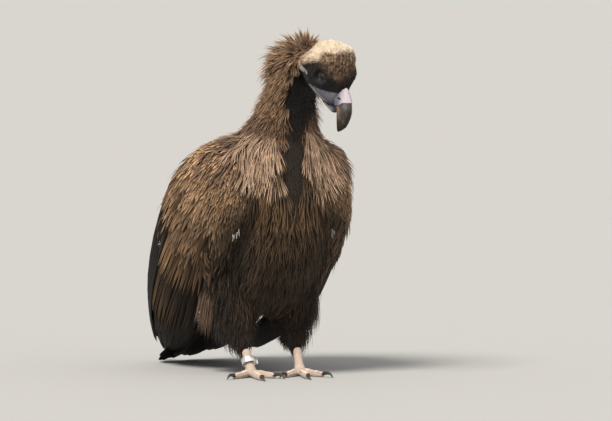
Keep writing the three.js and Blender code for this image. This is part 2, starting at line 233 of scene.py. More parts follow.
class Tint:
    """Named colours, linear."""

    CREAM = (0.82, 0.66, 0.52)
    TAN = (0.36, 0.225, 0.13)
    BROW = (0.085, 0.046, 0.027)
    BLACK = (0.0045, 0.0040, 0.0036)
    EAR = (0.30, 0.29, 0.27)
    CERE = (0.42, 0.37, 0.42)
    GAPE = (0.098, 0.103, 0.138)
    LIP = (0.52, 0.43, 0.385)
    RUFF = (0.050, 0.028, 0.016)
    RUFF_TIP = (0.37, 0.235, 0.145)
    NECK = (0.070, 0.040, 0.024)
    NECK_TIP = (0.30, 0.19, 0.12)
    CROP = (0.014, 0.010, 0.0075)
    CROP_TIP = (0.070, 0.050, 0.038)
    FLUFF = (0.20, 0.130, 0.088)
    FLUFF_TIP = (0.70, 0.50, 0.36)
    MANTLE = (0.075, 0.047, 0.033)
    MANTLE_TIP = (0.25, 0.150, 0.092)
    COVERT = (0.075, 0.044, 0.023)
    COVERT_TIP = (0.40, 0.25, 0.14)
    LONG = (0.016, 0.0095, 0.0055)
    LONG_TIP = (0.085, 0.051, 0.027)
    GREATER_TIP = (0.27, 0.165, 0.09)
    FLIGHT = (0.0065, 0.0048, 0.0035)
    FLIGHT_TIP = (0.012, 0.009, 0.0065)
    BELLY = (0.016, 0.0105, 0.0065)
    BELLY_TIP = (0.115, 0.070, 0.037)
    TROUSER = (0.013, 0.009, 0.0065)
    TROUSER_TIP = (0.050, 0.035, 0.026)
    FLAP = (0.115, 0.072, 0.050)
    WHITE = (0.78, 0.75, 0.70)
    SPECK = (0.50, 0.36, 0.235)
    LID = (0.17, 0.175, 0.19)
    SHANK = (0.54, 0.44, 0.375)
    PORE = (0.22, 0.16, 0.13)


def mixed(first: Array, second: Array, share: Array) -> Array:
    """Returns first towards second by share, one row each."""
    share = np.asarray(share)[..., None]
    return np.asarray(first) * (1 - share) + np.asarray(second) * share


class Markings:
    """The pattern that skin and coat share, worked out from places on the body."""

    @staticmethod
    def reach(p: Places) -> Array:
        """Returns how far each place is from the middle of the head: 1 about where the head ends."""
        f, u, r = p.head.T
        return ((f + 28) / 68) ** 2 + ((u - 6) / 62) ** 2 + (r / 56) ** 2

    def skull(self, p: Places) -> Array:
        """Returns 1 inside the head's own form, falling to 0 on the neck."""
        return step(1.12, 0.98, self.reach(p))

    def collar(self, p: Places) -> Array:
        """Returns 1 on the black ring of short down round the head's foot, below the crown."""
        return step(1.5, 1.25, self.reach(p)) * step(30, 5, p.head[:, 1])

    @staticmethod
    def crown(p: Places) -> Array:
        """Returns 1 on the pale crown, with a ragged edge."""
        f, u, _ = p.head.T
        edge = np.interp(u, (-20, 5, 34, 48, 60, 75), (-62, -50, -28, -38, -19, -8)) + 5 * ripple(p.head, 9.0)
        return step(5, -5, f - edge) * step(-24, -12, u)

    @staticmethod
    def brow(p: Places) -> Array:
        """Returns 1 on the brown forehead and brow."""
        f, u, _ = p.head.T
        low = np.interp(f, (-60, -30, -10, 5, 25), (2, 14, 23, 19, 12)) + 2.5 * ripple(p.head, 7.0, 2.0)
        return step(-3, 4, u - low)

    @staticmethod
    def gape(p: Places) -> Array:
        """Returns 1 on the bare wedge of skin that runs back from the bill on both sides of the mouth."""
        f, u, r = p.head.T
        above = -21 + 0.457 * (f + 18) + 1.2 * ripple(p.head, 5.0, 6.0)
        below = -23.5 - 0.42 * (f + 18)
        between = step(1.2, -1.2, u - above) * step(-1.2, 1.2, u - below)
        return between * step(-20, -15, f) * step(5, 9, np.abs(r))

    @staticmethod
    def mouth(p: Places) -> Array:
        """Returns how far each place lies above the line of the mouth, in millimetres."""
        f, u, _ = p.head.T
        return u + 22.5 + 0.12 * (f + 18)

    @staticmethod
    def strip(p: Places) -> Array:
        """Returns 1 on the black strip down the front of the neck."""
        x, y, z = p.mm.T
        middle = 12 + 0.2 * (z - 470)
        half = 7 + 30 * step(470, 552, z) + 3 * ripple(p.mm, 14.0, 1.0)
        behind = y - neck_axis(z)[1]
        return step(half + 4, half - 4, np.abs(x - middle)) * step(0, -20, behind) * step(466, 482, z)

    @staticmethod
    def crop(p: Places) -> Array:
        """Returns 1 on the dark short-feathered patch over the crop."""
        half = 20 - 8 * step(400, 340, p.z)
        front = step(half + 7, half - 5, np.abs(p.x - 4)) * step(-20, -50, p.y)
        return front * step(335, 370, p.z) * step(520, 485, p.z)

    def face(self, p: Places) -> Array:
        """Works out the colour of the head's skin and short down.

        Args:
            p: places on the head.

        Returns:
            A colour for each place.
        """
        f, u, _ = p.head.T
        cloud = ripple(p.head, 11.0, 3.0) + 0.02 * u + 0.03 * np.minimum(f + 40, 0)
        crown = mixed(Tint.TAN, Tint.CREAM, step(-0.9, 0.35, cloud))
        speck = step(-0.05, 0.55, ripple(p.head, 4.0, 4.0)) * step(24, 42, u)
        tan = np.exp(-(((p.head - [14, 27, 20]) / [9, 6, 12]) ** 2).sum(axis=1))
        dark = 0.85 * step(42, 20, u + 5 * ripple(p.head, 8.0, 5.0))
        brow = mixed(mixed(Tint.BROW, Tint.BLACK, dark), Tint.TAN, 0.45 * tan)
        brow = mixed(brow, Tint.SPECK, 0.9 * speck)
        colour = mixed(mixed(Tint.BLACK, brow, self.brow(p)), crown, self.crown(p))
        wedge = mixed(Tint.GAPE, Tint.CERE, 0.25 * step(8, 30, f) * step(-24, -8, u))
        lip = mixed(wedge, Tint.LIP, bump(0.0, 1.3, self.mouth(p)))
        return mixed(mixed(colour, lip, self.gape(p)), Tint.EAR, self.ear(p))

    @staticmethod
    def ear(p: Places) -> Array:
        """Returns 1 on the bare pale patch behind each ear."""
        f, u, r = p.head.T
        along = (f + 52) / 19
        across = (u + 13 - 0.17 * (f + 52)) / 6.5
        hole = ((f + 40) / 3.0) ** 2 + ((u + 13) / 2.2) ** 2
        return step(1.15, 0.85, along**2 + across**2) * step(24, 30, np.abs(r)) * step(0.7, 1.3, hole)

    def skin(self, p: Places) -> Array:
        """Works out the colour of the skin under the coat, each part over the last.

        Args:
            p: places on the skin.

        Returns:
            A colour for each place.
        """
        colour = np.broadcast_to(np.array(Tint.BELLY), p.mm.shape)
        outside = step(-0.2, 0.4, p.normal[:, 0] * np.sign(p.x))
        pores = 0.5 + 0.5 * ripple(p.mm, 3.0, 5.0)
        for tint, share in (
            (Tint.COVERT, p.on(*WINGS) * outside),
            (Tint.TROUSER, p.on(*THIGHS)),
            (Tint.NECK, step(455, 490, p.z)),
            (Tint.CROP, self.crop(p)),
            (Tint.BLACK, np.maximum(self.strip(p), self.collar(p))),
            (self.face(p), self.skull(p)),
            (mixed(Tint.SHANK, Tint.PORE, 0.25 * pores), (p.part < 0).astype(float)),
        ):
            colour = mixed(colour, tint, share)
        return colour


# ---------------------------------------------------------------- working with objects


def deselect() -> None:
    """Deselects every object."""
    bpy.ops.object.select_all(action="DESELECT")


def select_only(thing: Thing) -> None:
    """Selects one object and makes it the active one."""
    deselect()
    thing.select_set(True)
    bpy.context.view_layer.objects.active = thing


def apply_modifier(thing: Thing, kind: str, **settings: object) -> None:
    """Adds one modifier and applies it at once.

    Args:
        thing: the object.
        kind: the modifier's type.
        **settings: its values by name.
    """
    select_only(thing)
    modifier = thing.modifiers.new(kind.title(), kind)
    for name, value in settings.items():
        setattr(modifier, name, value)
    bpy.ops.object.modifier_apply(modifier=modifier.name)


def settle(thing: Thing, name: str) -> Thing:
    """Names a piece and bakes its place, turn and scale into its mesh."""
    select_only(thing)
    bpy.ops.object.transform_apply(location=True, rotation=True, scale=True)
    thing.name = thing.data.name = name
    return thing


def in_edit_mode(thing: Thing, operator: Callable, **settings: object) -> None:
    """Runs one operator in edit mode, on the whole mesh of an object."""
    select_only(thing)
    bpy.ops.object.mode_set(mode="EDIT")
    bpy.ops.mesh.select_all(action="SELECT")
    operator(**settings)
    bpy.ops.object.mode_set(mode="OBJECT")


def turn_outwards(thing: Thing) -> None:
    """Turns every face outwards."""
    in_edit_mode(thing, bpy.ops.mesh.normals_make_consistent, inside=False)


def copy_of(frame: dict, node: str) -> Thing:
    """Returns a copy of a node's solid, with its loose triangles joined."""
    thing = bpy.data.objects.new(node + "_copy", frame["nodes"][node].data.copy())
    bpy.context.scene.collection.objects.link(thing)
    thing.data.materials.clear()
    in_edit_mode(thing, bpy.ops.mesh.remove_doubles, threshold=1e-5)
    return thing


def join(things: list[Thing], name: str) -> Thing:
    """Joins objects into the first and names it."""
    deselect()
    for thing in things:
        thing.select_set(True)
    bpy.context.view_layer.objects.active = things[0]
    bpy.ops.object.join()
    things[0].name = things[0].data.name = name
    return things[0]


def read(items: Items, name: str, width: int = 3, kind: type = float) -> Array:
    """Returns one property of every item, one row each."""
    out = np.empty(len(items) * width, kind)
    items.foreach_get(name, out)
    return out.reshape(-1, width)


def vertices_of(thing: Thing) -> Array:
    """Returns the mesh's vertices, one per row."""
    return read(thing.data.vertices, "co")


def normals_of(thing: Thing) -> Array:
    """Returns the mesh's vertex normals, one per row."""
    return read(thing.data.vertex_normals, "vector")


def parts_of(thing: Thing) -> Array:
    """Returns which part of the body each vertex belongs to."""
    return read(thing.data.attributes["part"].data, "vector")[:, 0].round().astype(int)


def reshape(thing: Thing, vertices: Array) -> None:
    """Moves the mesh's vertices to new places."""
    thing.data.vertices.foreach_set("co", np.ascontiguousarray(vertices, float).ravel())
    thing.data.update()


def smooth_faces(thing: Thing) -> None:
    """Shades every face smooth."""
    thing.data.polygons.foreach_set("use_smooth", np.ones(len(thing.data.polygons), bool))


def paint(thing: Thing, colours: Array) -> None:
    """Stores a colour for each vertex, which the finishes read as "plume"."""
    layer = thing.data.color_attributes.new("plume", "FLOAT_COLOR", "POINT")
    layer.data.foreach_set("color", np.column_stack([colours, np.ones(len(colours))]).ravel())


def mark(thing: Thing, name: str, values: Array) -> None:
    """Stores three numbers for each vertex under a name."""
    layer = thing.data.attributes.new(name, "FLOAT_VECTOR", "POINT")
    layer.data.foreach_set("vector", np.ascontiguousarray(values, float).ravel())


def dress(thing: Thing, name: str, material: Material, slot: str, *replaced: str) -> None:
    """Gives a piece its name, smooth faces, its material and its body, and hides the nodes it stands for."""
    smooth_faces(thing)
    thing.name = thing.data.name = name
    thing.data.materials.append(material)
    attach(thing, "root")
    if replaced:
        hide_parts(*replaced)


# ---------------------------------------------------------------- finishes


class Nodes:
    """A short way to lay shader nodes in a tree."""

    def __init__(self, tree: bpy.types.NodeTree) -> None:
        self.tree = tree

    def feed(self, node: bpy.types.Node, inputs: dict) -> bpy.types.Node:
        """Sets or links inputs of a node, by name or number, and returns the node."""
        for socket, value in inputs.items():
            if isinstance(value, Socket):
                self.tree.links.new(value, node.inputs[socket])
            else:
                node.inputs[socket].default_value = value
        return node

    def add(self, kind: str, inputs: dict | None = None, **settings: object) -> bpy.types.Node:
        """Adds a node.

        Args:
            kind: the node's type, without "ShaderNode".
            inputs: socket name or number to a value, or to a socket that feeds it.
            **settings: the node's properties.

        Returns:
            The node.
        """
        node = self.tree.nodes.new("ShaderNode" + kind)
        for name, value in settings.items():
            setattr(node, name, value)
        return self.feed(node, inputs or {})

    def math(self, operation: str, *values: object) -> Socket:
        """Returns the result of one sum on numbers or sockets."""
        return self.add("Math", dict(enumerate(values)), operation=operation).outputs[0]

    def times(self, first: object, second: object) -> Socket:
        """Returns the product of two numbers or sockets."""
        return self.math("MULTIPLY", first, second)

    def plus(self, first: object, second: object) -> Socket:
        """Returns the total of two numbers or sockets."""
        return self.math("ADD", first, second)

    def minus(self, first: object, second: object) -> Socket:
        """Returns the first less the second."""
        return self.math("SUBTRACT", first, second)

    def mix(self, share: object, first: object, second: object) -> Socket:
        """Returns a mix of two colours."""
        return self.add("Mix", {"Factor": share, 6: first, 7: second}, data_type="RGBA").outputs[2]

    def scaled(self, colour: object, gain: object) -> Socket:
        """Returns a colour made lighter or darker."""
        return self.add("VectorMath", {0: colour, 3: gain}, operation="SCALE").outputs[0]

    def span(self, value: object, *ends: float) -> Socket:
        """Returns a value moved from the first two ends to the last two, and held between them."""
        return self.add("MapRange", {"Value": value, **dict(enumerate(ends, 1))}).outputs[0]

    def noise(self, scale: float, vector: object, detail: float = 3.0) -> Socket:
        """Returns a noise of so many patches a metre."""
        return self.add("TexNoise", {"Vector": vector, "Scale": scale, "Detail": detail}).outputs["Fac"]

    def coordinates(self) -> Socket:
        """Returns the object's own coordinates."""
        return self.add("TexCoord").outputs["Object"]

    def stretched(self, vector: object, scale: Colour) -> Socket:
        """Returns coordinates scaled along each axis."""
        return self.add("Mapping", {"Vector": vector, "Scale": scale}).outputs[0]

    def attribute(self, name: str) -> Socket:
        """Returns the three numbers stored under a name."""
        return self.add("Attribute", attribute_name=name).outputs["Vector"]

    def plume(self) -> Socket:
        """Returns the colour painted on the vertices."""
        return self.add("Attribute", attribute_name="plume").outputs["Color"]

    def split(self, vector: object) -> Items:
        """Returns the three numbers of a vector."""
        return self.add("SeparateXYZ", {0: vector}).outputs

    def group(self, tree: bpy.types.NodeTree, inputs: dict) -> Items:
        """Returns what a shared group makes of these inputs."""
        return self.add("Group", inputs, node_tree=tree).outputs

    def bump(self, height: object, strength: float, distance: float) -> Socket:
        """Returns the normal of a surface with this height."""
        inputs = {"Height": height, "Strength": strength, "Distance": distance}
        return self.add("Bump", inputs).outputs["Normal"]


def rgba(colour: Colour) -> tuple[float, float, float, float]:
    """Returns a colour with full alpha."""
    return (*colour, 1.0)


class Effects:
    """Shader groups that several finishes share, built once."""

    KINDS = {"Colour": "Color", "Vector": "Vector", "Vane": "Vector"}  # of sockets, the others being numbers

    def __init__(self) -> None:
        self.barbs = self.group("Barbs", {"Vane": None, "Barbs per mm": 1.0}, self.make_barbs)
        mottled = {"Vector": None, "Colour": None, "Patches": 40.0, "Strength": 0.3}
        self.mottle = self.group("Mottle", mottled, self.make_mottle)
        self.scales = self.group("Scales", {"Vector": None, "Scales": 500.0}, self.make_scales)

    def group(self, name: str, inputs: dict, make: Callable) -> bpy.types.NodeTree:
        """Makes one group.

        Args:
            name: the group's name.
            inputs: each input's name and value.
            make: lays the nodes and returns what feeds each output, by name.

        Returns:
            The group.
        """
        tree = bpy.data.node_groups.new(name, "ShaderNodeTree")

        def add_socket(label: str, way: str) -> bpy.types.NodeTreeInterfaceSocket:
            """Returns a new socket of the group."""
            kind = "NodeSocket" + self.KINDS.get(label, "Float")
            return tree.interface.new_socket(label, in_out=way, socket_type=kind)

        for label, value in inputs.items():
            socket = add_socket(label, "INPUT")
            if value is not None:
                socket.default_value = value
        nodes = Nodes(tree)
        results = make(nodes, tree.nodes.new("NodeGroupInput").outputs)
        for label in results:
            add_socket(label, "OUTPUT")
        nodes.feed(tree.nodes.new("NodeGroupOutput"), results)
        return tree

    @staticmethod
    def make_barbs(nodes: Nodes, given: Items) -> dict[str, Socket]:
        """Fine slanted barbs either side of a shaft, from the vane's own across and along."""
        parts = nodes.split(given["Vane"])
        aside = nodes.math("ABSOLUTE", parts[0])
        slant = nodes.minus(parts[1], nodes.times(aside, 6.0))
        phase = nodes.times(nodes.times(slant, given["Barbs per mm"]), 6.283)
        wave = nodes.math("SINE", nodes.plus(phase, nodes.times(parts[2], 40.0)))
        clumps = nodes.noise(1.0, nodes.add("CombineXYZ", {0: slant, 1: parts[2]}).outputs[0], 2.0)
        height = nodes.plus(nodes.times(wave, 0.4), clumps)
        shade = nodes.span(height, 0.1, 1.0, 0.78, 1.18)
        return {"Height": height, "Shaft": nodes.span(aside, 0.0, 0.10, 1.0, 0.0), "Shade": shade}

    @staticmethod
    def make_mottle(nodes: Nodes, given: Items) -> dict[str, Socket]:
        """Soft light and dark patches."""
        noise = nodes.noise(given["Patches"], given["Vector"], 4.0)
        swing = nodes.times(nodes.minus(noise, 0.5), 2.0)
        gain = nodes.plus(nodes.times(swing, given["Strength"]), 1.0)
        return {"Colour": nodes.scaled(given["Colour"], gain)}

    @staticmethod
    def make_scales(nodes: Nodes, given: Items) -> dict[str, Socket]:
        """Small rounded scales with furrows between them."""
        inputs = {"Vector": given["Vector"], "Scale": given["Scales"]}
        away = nodes.add("TexVoronoi", inputs, feature="DISTANCE_TO_EDGE").outputs["Distance"]
        rise = nodes.span(away, 0.0, 0.22, 0.0, 1.0)
        return {"Height": rise, "Furrow": nodes.span(away, 0.0, 0.08, 1.0, 0.0)}


@dataclass(frozen=True)
class Finish:
    """What all finishes share: a name, and the values set on the shader itself."""

    name: str
    roughness: float = 0.6
    specular: float = 0.5
    sheen: float = 0.0
    coat: float = 0.0
    metallic: float = 0.0

    def make(self, effects: Effects) -> Material:
        """Builds the material round its shader.

        Args:
            effects: the shared groups.

        Returns:
            The material.
        """
        material = bpy.data.materials.new(self.name)
        material.use_nodes = True
        nodes = Nodes(material.node_tree)
        fixed = {
            "Roughness": self.roughness,
            "Specular IOR Level": self.specular,
            "Sheen Weight": self.sheen,
            "Sheen Roughness": 0.5,
            "Coat Weight": self.coat,
            "Metallic": self.metallic,
        }
        nodes.feed(material.node_tree.nodes["Principled BSDF"], {**fixed, **self.surface(nodes, effects)})
        return material

    def surface(self, nodes: Nodes, effects: Effects) -> dict:
        """Lays the finish's own nodes.

        Args:
            nodes: lays nodes in the material's tree.
            effects: the shared groups.

        Returns:
            What feeds the shader, by socket.
        """
        raise NotImplementedError


@dataclass(frozen=True)
class PlumageFinish(Finish):
    """Feathers: the tract's colours, with barbs, a shaft line and soft mottling."""

    barbs: float = 1.0  # per millimetre
    shaft: Colour = (0.02, 0.015, 0.012)
    shaft_share: float = 0.5
    patches: float = 60.0
    strength: float = 0.25

    def surface(self, nodes: Nodes, effects: Effects) -> dict:
        """Reads the vane's own coordinates in "vane" and its colour in "plume".

        Args:
            nodes: lays nodes in the material's tree.
            effects: the shared groups.

        Returns:
            What feeds the shader, by socket.
        """
        barbs = nodes.group(effects.barbs, {"Vane": nodes.attribute("vane"), "Barbs per mm": self.barbs})
        mottled = {"Vector": nodes.coordinates(), "Colour": nodes.plume()}
        mottled |= {"Patches": self.patches, "Strength": self.strength}
        shaded = nodes.scaled(nodes.group(effects.mottle, mottled)["Colour"], barbs["Shade"])
        share = nodes.times(barbs["Shaft"], self.shaft_share)
        return {
            "Base Color": nodes.mix(share, shaded, rgba(self.shaft)),
            "Normal": nodes.bump(barbs["Height"], 0.35, 0.0004),
        }


@dataclass(frozen=True)
class SkinFinish(Finish):
    """Skin: the shared markings over fine wrinkles, and scales on the feet."""

    def surface(self, nodes: Nodes, effects: Effects) -> dict:
        """Reads 1 on the feet in "bare" and the colour in "plume".

        Args:
            nodes: lays nodes in the material's tree.
            effects: the shared groups.

        Returns:
            What feeds the shader, by socket.
        """
        where = nodes.coordinates()
        foot = nodes.split(nodes.attribute("bare"))[0]
        scales = nodes.group(effects.scales, {"Vector": where, "Scales": 420.0})
        mottled = {"Vector": where, "Colour": nodes.plume(), "Patches": 220.0, "Strength": 0.35}
        painted = nodes.group(effects.mottle, mottled)["Colour"]
        furrow = nodes.times(nodes.times(scales["Furrow"], foot), 0.55)
        smooth = nodes.minus(1.0, foot)
        wrinkles = nodes.times(nodes.noise(900.0, where, 4.0), smooth)
        height = nodes.plus(nodes.times(scales["Height"], foot), wrinkles)
        return {
            "Base Color": nodes.mix(furrow, painted, rgba(Tint.PORE)),
            "Normal": nodes.bump(height, 0.8, 0.0008),
        }


@dataclass(frozen=True)
class HornFinish(Finish):
    """The bill: a pale waxy cere, and streaked horn, with painted shade in the nostrils."""

    # painted shade in the nostrils, which are only shallow dents in the mesh
    hole: Colour = (0.012, 0.01, 0.01)

    def surface(self, nodes: Nodes, effects: Effects) -> dict:
        """Reads colours in "plume", cere and nostril in "beak" and head places in "place".

        Args:
            nodes: lays nodes in the material's tree.
            effects: the shared groups, which are not used.

        Returns:
            What feeds the shader, by socket.
        """
        where, painted = nodes.coordinates(), nodes.plume()
        cere, nostril, _ = nodes.split(nodes.attribute("beak"))
        streaks = nodes.noise(1.6, nodes.stretched(nodes.attribute("place"), (0.04, 0.16, 0.5)), 5.0)
        deepened = {"Value": 0.62, "Saturation": 1.15, "Color": painted}
        deep = nodes.add("HueSaturation", deepened).outputs[0]
        horny = nodes.minus(1.0, cere)
        share = nodes.times(nodes.span(streaks, 0.42, 0.62, 0.0, 1.0), horny)
        colour = nodes.mix(share, painted, deep)
        colour = nodes.mix(nodes.span(nodes.noise(150.0, where), 0.5, 0.8, 0.0, 0.35), colour, deep)
        gloss = nodes.span(cere, 0.0, 1.0, 0.30, 0.5)
        pitting = nodes.plus(nodes.noise(700.0, where, 4.0), nodes.times(streaks, 1.5))
        return {
            # painted shade over the nostrils
            "Base Color": nodes.mix(nostril, colour, rgba(self.hole)),
            "Roughness": nodes.plus(gloss, nodes.times(nodes.noise(400.0, where), 0.12)),
            "Normal": nodes.bump(pitting, 0.35, 0.0005),
        }


@dataclass(frozen=True)
class EyeFinish(Finish):
    """A dark brown iris round a black pupil, under a wet surface."""

    def surface(self, nodes: Nodes, effects: Effects) -> dict:
        """Reads the distance from the pupil's middle in "gaze"."""
        gaze = nodes.attribute("gaze")
        away = nodes.split(gaze)[0]
        iris = nodes.mix(nodes.noise(3.0, gaze), (0.020, 0.010, 0.006, 1.0), (0.055, 0.026, 0.014, 1.0))
        ball = nodes.mix(nodes.span(away, 7.4, 8.4, 0.0, 1.0), iris, (0.02, 0.016, 0.015, 1.0))
        colour = nodes.mix(nodes.span(away, 3.4, 3.9, 1.0, 0.0), ball, (0.003, 0.003, 0.003, 1.0))
        return {"Base Color": colour, "Coat Roughness": 0.02}


@dataclass(frozen=True)
class ClawFinish(Finish):
    """Black horn, worn greyer in patches."""

    def surface(self, nodes: Nodes, effects: Effects) -> dict:
        """Lays worn patches over the black."""
        where = nodes.coordinates()
        wear = nodes.span(nodes.noise(300.0, where, 4.0), 0.4, 0.75, 0.0, 0.6)
        colour = nodes.mix(wear, (0.012, 0.011, 0.011, 1.0), (0.075, 0.066, 0.06, 1.0))
        return {"Base Color": colour, "Normal": nodes.bump(nodes.noise(900.0, where), 0.4, 0.0004)}


@dataclass(frozen=True)
class MetalFinish(Finish):
    """Dull aluminium with fine scratches and a little dirt."""

    def surface(self, nodes: Nodes, effects: Effects) -> dict:
        """Lays scratches round the band, and dirt over them."""
        where = nodes.coordinates()
        scratches = nodes.noise(500.0, nodes.stretched(where, (1.0, 1.0, 9.0)), 5.0)
        dirt = nodes.span(nodes.noise(160.0, where, 4.0), 0.55, 0.75, 0.0, 0.5)
        metal = nodes.mix(scratches, (0.66, 0.67, 0.66, 1.0), (0.82, 0.82, 0.80, 1.0))
        return {
            "Base Color": nodes.mix(dirt, metal, (0.42, 0.38, 0.33, 1.0)),
            "Roughness": nodes.span(scratches, 0.3, 0.7, 0.32, 0.55),
            "Normal": nodes.bump(scratches, 0.2, 0.0002),
        }


@dataclass(frozen=True)
class FloorFinish(Finish):
    """A plain pale floor."""

    def surface(self, nodes: Nodes, effects: Effects) -> dict:
        """Leaves the floor one colour."""
        return {"Base Color": (0.37, 0.375, 0.38, 1.0)}


# ---------------------------------------------------------------- the skin


@dataclass(frozen=True)
class Swelling:
    """An ellipsoid that rounds out the head on both sides, in millimetres of the head's frame."""

    centre: Colour  # forward, up, right
    radii: Colour
    toe_in: float = 0.0  # degrees that its front end turns towards the midline


@dataclass
class Skin:
    """One skin over body, head and feet, inside the nodes of flesh by the coat's depth."""

    frame: dict
    stance: Stance
    body_voxel: float = 0.0045
    head_voxel: float = 0.0015
    foot_voxel: float = 0.0013
    depths: tuple[float, ...] = (14.0, 13.0, 6.0, 10.0, 10.0, 13.0, 13.0)  # in the order of FLESH
    swellings: tuple[Swelling, ...] = (
        Swelling((1.0, 25.5, 31.0), (21.0, 5.0, 9.0), 24.0),  # brow
        Swelling((-20.0, -12.0, 33.0), (22.0, 15.0, 11.0), 6.0),  # cheek
        Swelling((4.0, -23.0, 20.5), (24.0, 9.0, 6.5), 14.0),  # jaw beside the gape
        Swelling((-14.0, -36.0, 3.0), (24.0, 10.0, 13.0), 0.0),  # throat
        Swelling((14.0, 6.0, 21.0), (12.0, 11.0, 6.5), 28.0),  # lores
        Swelling((-28.0, 47.0, 15.0), (28.0, 17.0, 20.0), 0.0),  # crown
        Swelling((-54.0, 4.0, 35.0), (19.0, 28.0, 13.5), 0.0),  # behind the ear
    )

    def build(self, material: Material) -> Thing:
        """Returns the finished skin, with its markings and its unwrap."""
        skin = join([self.body(), self.head(), self.feet()], "skin")
        smooth_faces(skin)
        skin.data.uv_layers.new(name="OFBake")
        in_edit_mode(skin, bpy.ops.uv.smart_project, angle_limit=math.radians(80), island_margin=0.002)
        labels = parts_of(skin)
        paint(skin, Markings().skin(Places(vertices_of(skin), normals_of(skin), labels, self.stance)))
        mark(skin, "bare", np.repeat((labels < 0)[:, None], 3, axis=1))
        dress(skin, "skin", material, "dark_plumage", *FLESH, *FEET)
        log.info("skin: %d faces", len(skin.data.polygons))
        return skin

    def body(self) -> Thing:
        """Returns trunk, neck, wings and thighs as one form, pared down by the coat's depth."""
        names = [name for name in FLESH if name != "head"]
        copies = [copy_of(self.frame, name) for name in names]
        surfaces = [BVHTree.FromObject(thing, bpy.context.evaluated_depsgraph_get()) for thing in copies]
        body = join(copies, "body")
        self.remesh(body, self.body_voxel, 4)
        nearness = self.nearness(vertices_of(body), surfaces)
        depths = np.array([self.depths[FLESH.index(name)] for name in names])
        depth = (nearness * depths).sum(axis=1) / nearness.sum(axis=1)
        places = Places(vertices_of(body), normals_of(body), np.zeros(len(depth), int), self.stance)
        depth += 11 * step(1.8, 1.2, Markings.reach(places))
        reshape(body, places.at - places.normal * depth[:, None] * MM)
        self.remesh(body, self.body_voxel, 8)
        nearest = self.nearness(vertices_of(body), surfaces).argmax(axis=1)
        self.label(body, np.array([FLESH.index(name) for name in names])[nearest])
        return body

    def head(self) -> Thing:
        """Returns the head with brows, cheeks, lores and throat, pared down by its short down."""
        sides = [self.swell(swelling, side) for swelling in self.swellings for side in (1, -1)]
        head = join([copy_of(self.frame, "head"), *sides], "head_skin")
        self.remesh(head, self.head_voxel, 5)
        f, u, r = self.stance.in_head(vertices_of(head)).T
        depth = self.depths[FLESH.index("head")] * step(-26, -50, f + 0.5 * (60 - u))
        depth += 1.6 * step(30, 10, f) + 5.5 * step(10, 50, f + u) * step(56, 42, u)
        eye = np.column_stack([f, u, np.abs(r)]) - Stance.EYES
        depth *= step(14, 26, np.linalg.norm(eye, axis=1))
        reshape(head, vertices_of(head) - normals_of(head) * depth[:, None] * MM)
        apply_modifier(head, "SMOOTH", factor=0.5, iterations=3)
        places = Places(vertices_of(head), normals_of(head), np.zeros(len(f), int), self.stance)
        mouth = Markings.mouth(places)
        push = Markings.gape(places) * (0.9 - 1.9 * bump(-1.6, 0.9, mouth) + 0.5 * bump(0.6, 1.0, mouth))
        reshape(head, places.at + places.normal * push[:, None] * MM)
        self.label(head, np.full(len(f), FLESH.index("head")))
        return head

    def swell(self, swelling: Swelling, side: int) -> Thing:
        """Returns one side's copy of a swelling, placed on the head."""
        bpy.ops.mesh.primitive_uv_sphere_add(segments=32, ring_count=16, radius=1.0)
        ball = bpy.context.object
        turn = math.radians(swelling.toe_in)
        f, u, r = (vertices_of(ball) * swelling.radii).T
        ahead = f * math.cos(turn) + r * math.sin(turn)
        aside = -f * math.sin(turn) + r * math.cos(turn)
        spots = np.column_stack([ahead, u, aside]) + swelling.centre
        reshape(ball, self.stance.head_world(spots * [1, 1, side]))
        turn_outwards(ball)
        return ball

    def feet(self) -> Thing:
        """Returns both shanks with their toes."""
        feet = join([copy_of(self.frame, name) for name in FEET], "feet")
        self.remesh(feet, self.foot_voxel, 4, whole=False)
        self.label(feet, np.full(len(feet.data.vertices), -1))
        return feet

    @staticmethod
    def remesh(thing: Thing, voxel: float, rounds: int, whole: bool = True) -> None:
        """Remakes a form as one surface, and smooths it.

        Args:
            thing: the form.
            voxel: the size of its faces, in metres.
            rounds: how often it is smoothed.
            whole: True to keep only its largest loose part.
        """
        apply_modifier(thing, "REMESH", mode="VOXEL", voxel_size=voxel)
        if whole:
            in_edit_mode(thing, bpy.ops.mesh.separate, type="LOOSE")
            pieces = list(bpy.context.selected_objects)
            largest = max(pieces, key=lambda piece: len(piece.data.vertices))
            if largest is not thing:
                thing.data, largest.data = largest.data, thing.data
            for piece in pieces:
                if piece is not thing:
                    bpy.data.objects.remove(piece)
        apply_modifier(thing, "SMOOTH", factor=0.5, iterations=rounds)

    @staticmethod
    def nearness(points: Array, surfaces: list[BVHTree]) -> Array:
        """Returns how near each point is to each surface, one column each, higher when nearer."""
        columns = [[tree.find_nearest(p)[3] for p in points.tolist()] for tree in surfaces]
        return 1.0 / (np.array(columns).T / MM + 2.0) ** 3

    @staticmethod
    def label(thing: Thing, parts: Array) -> None:
        """Stores which part of the body each vertex belongs to."""
        mark(thing, "part", np.repeat(parts[:, None], 3, axis=1))


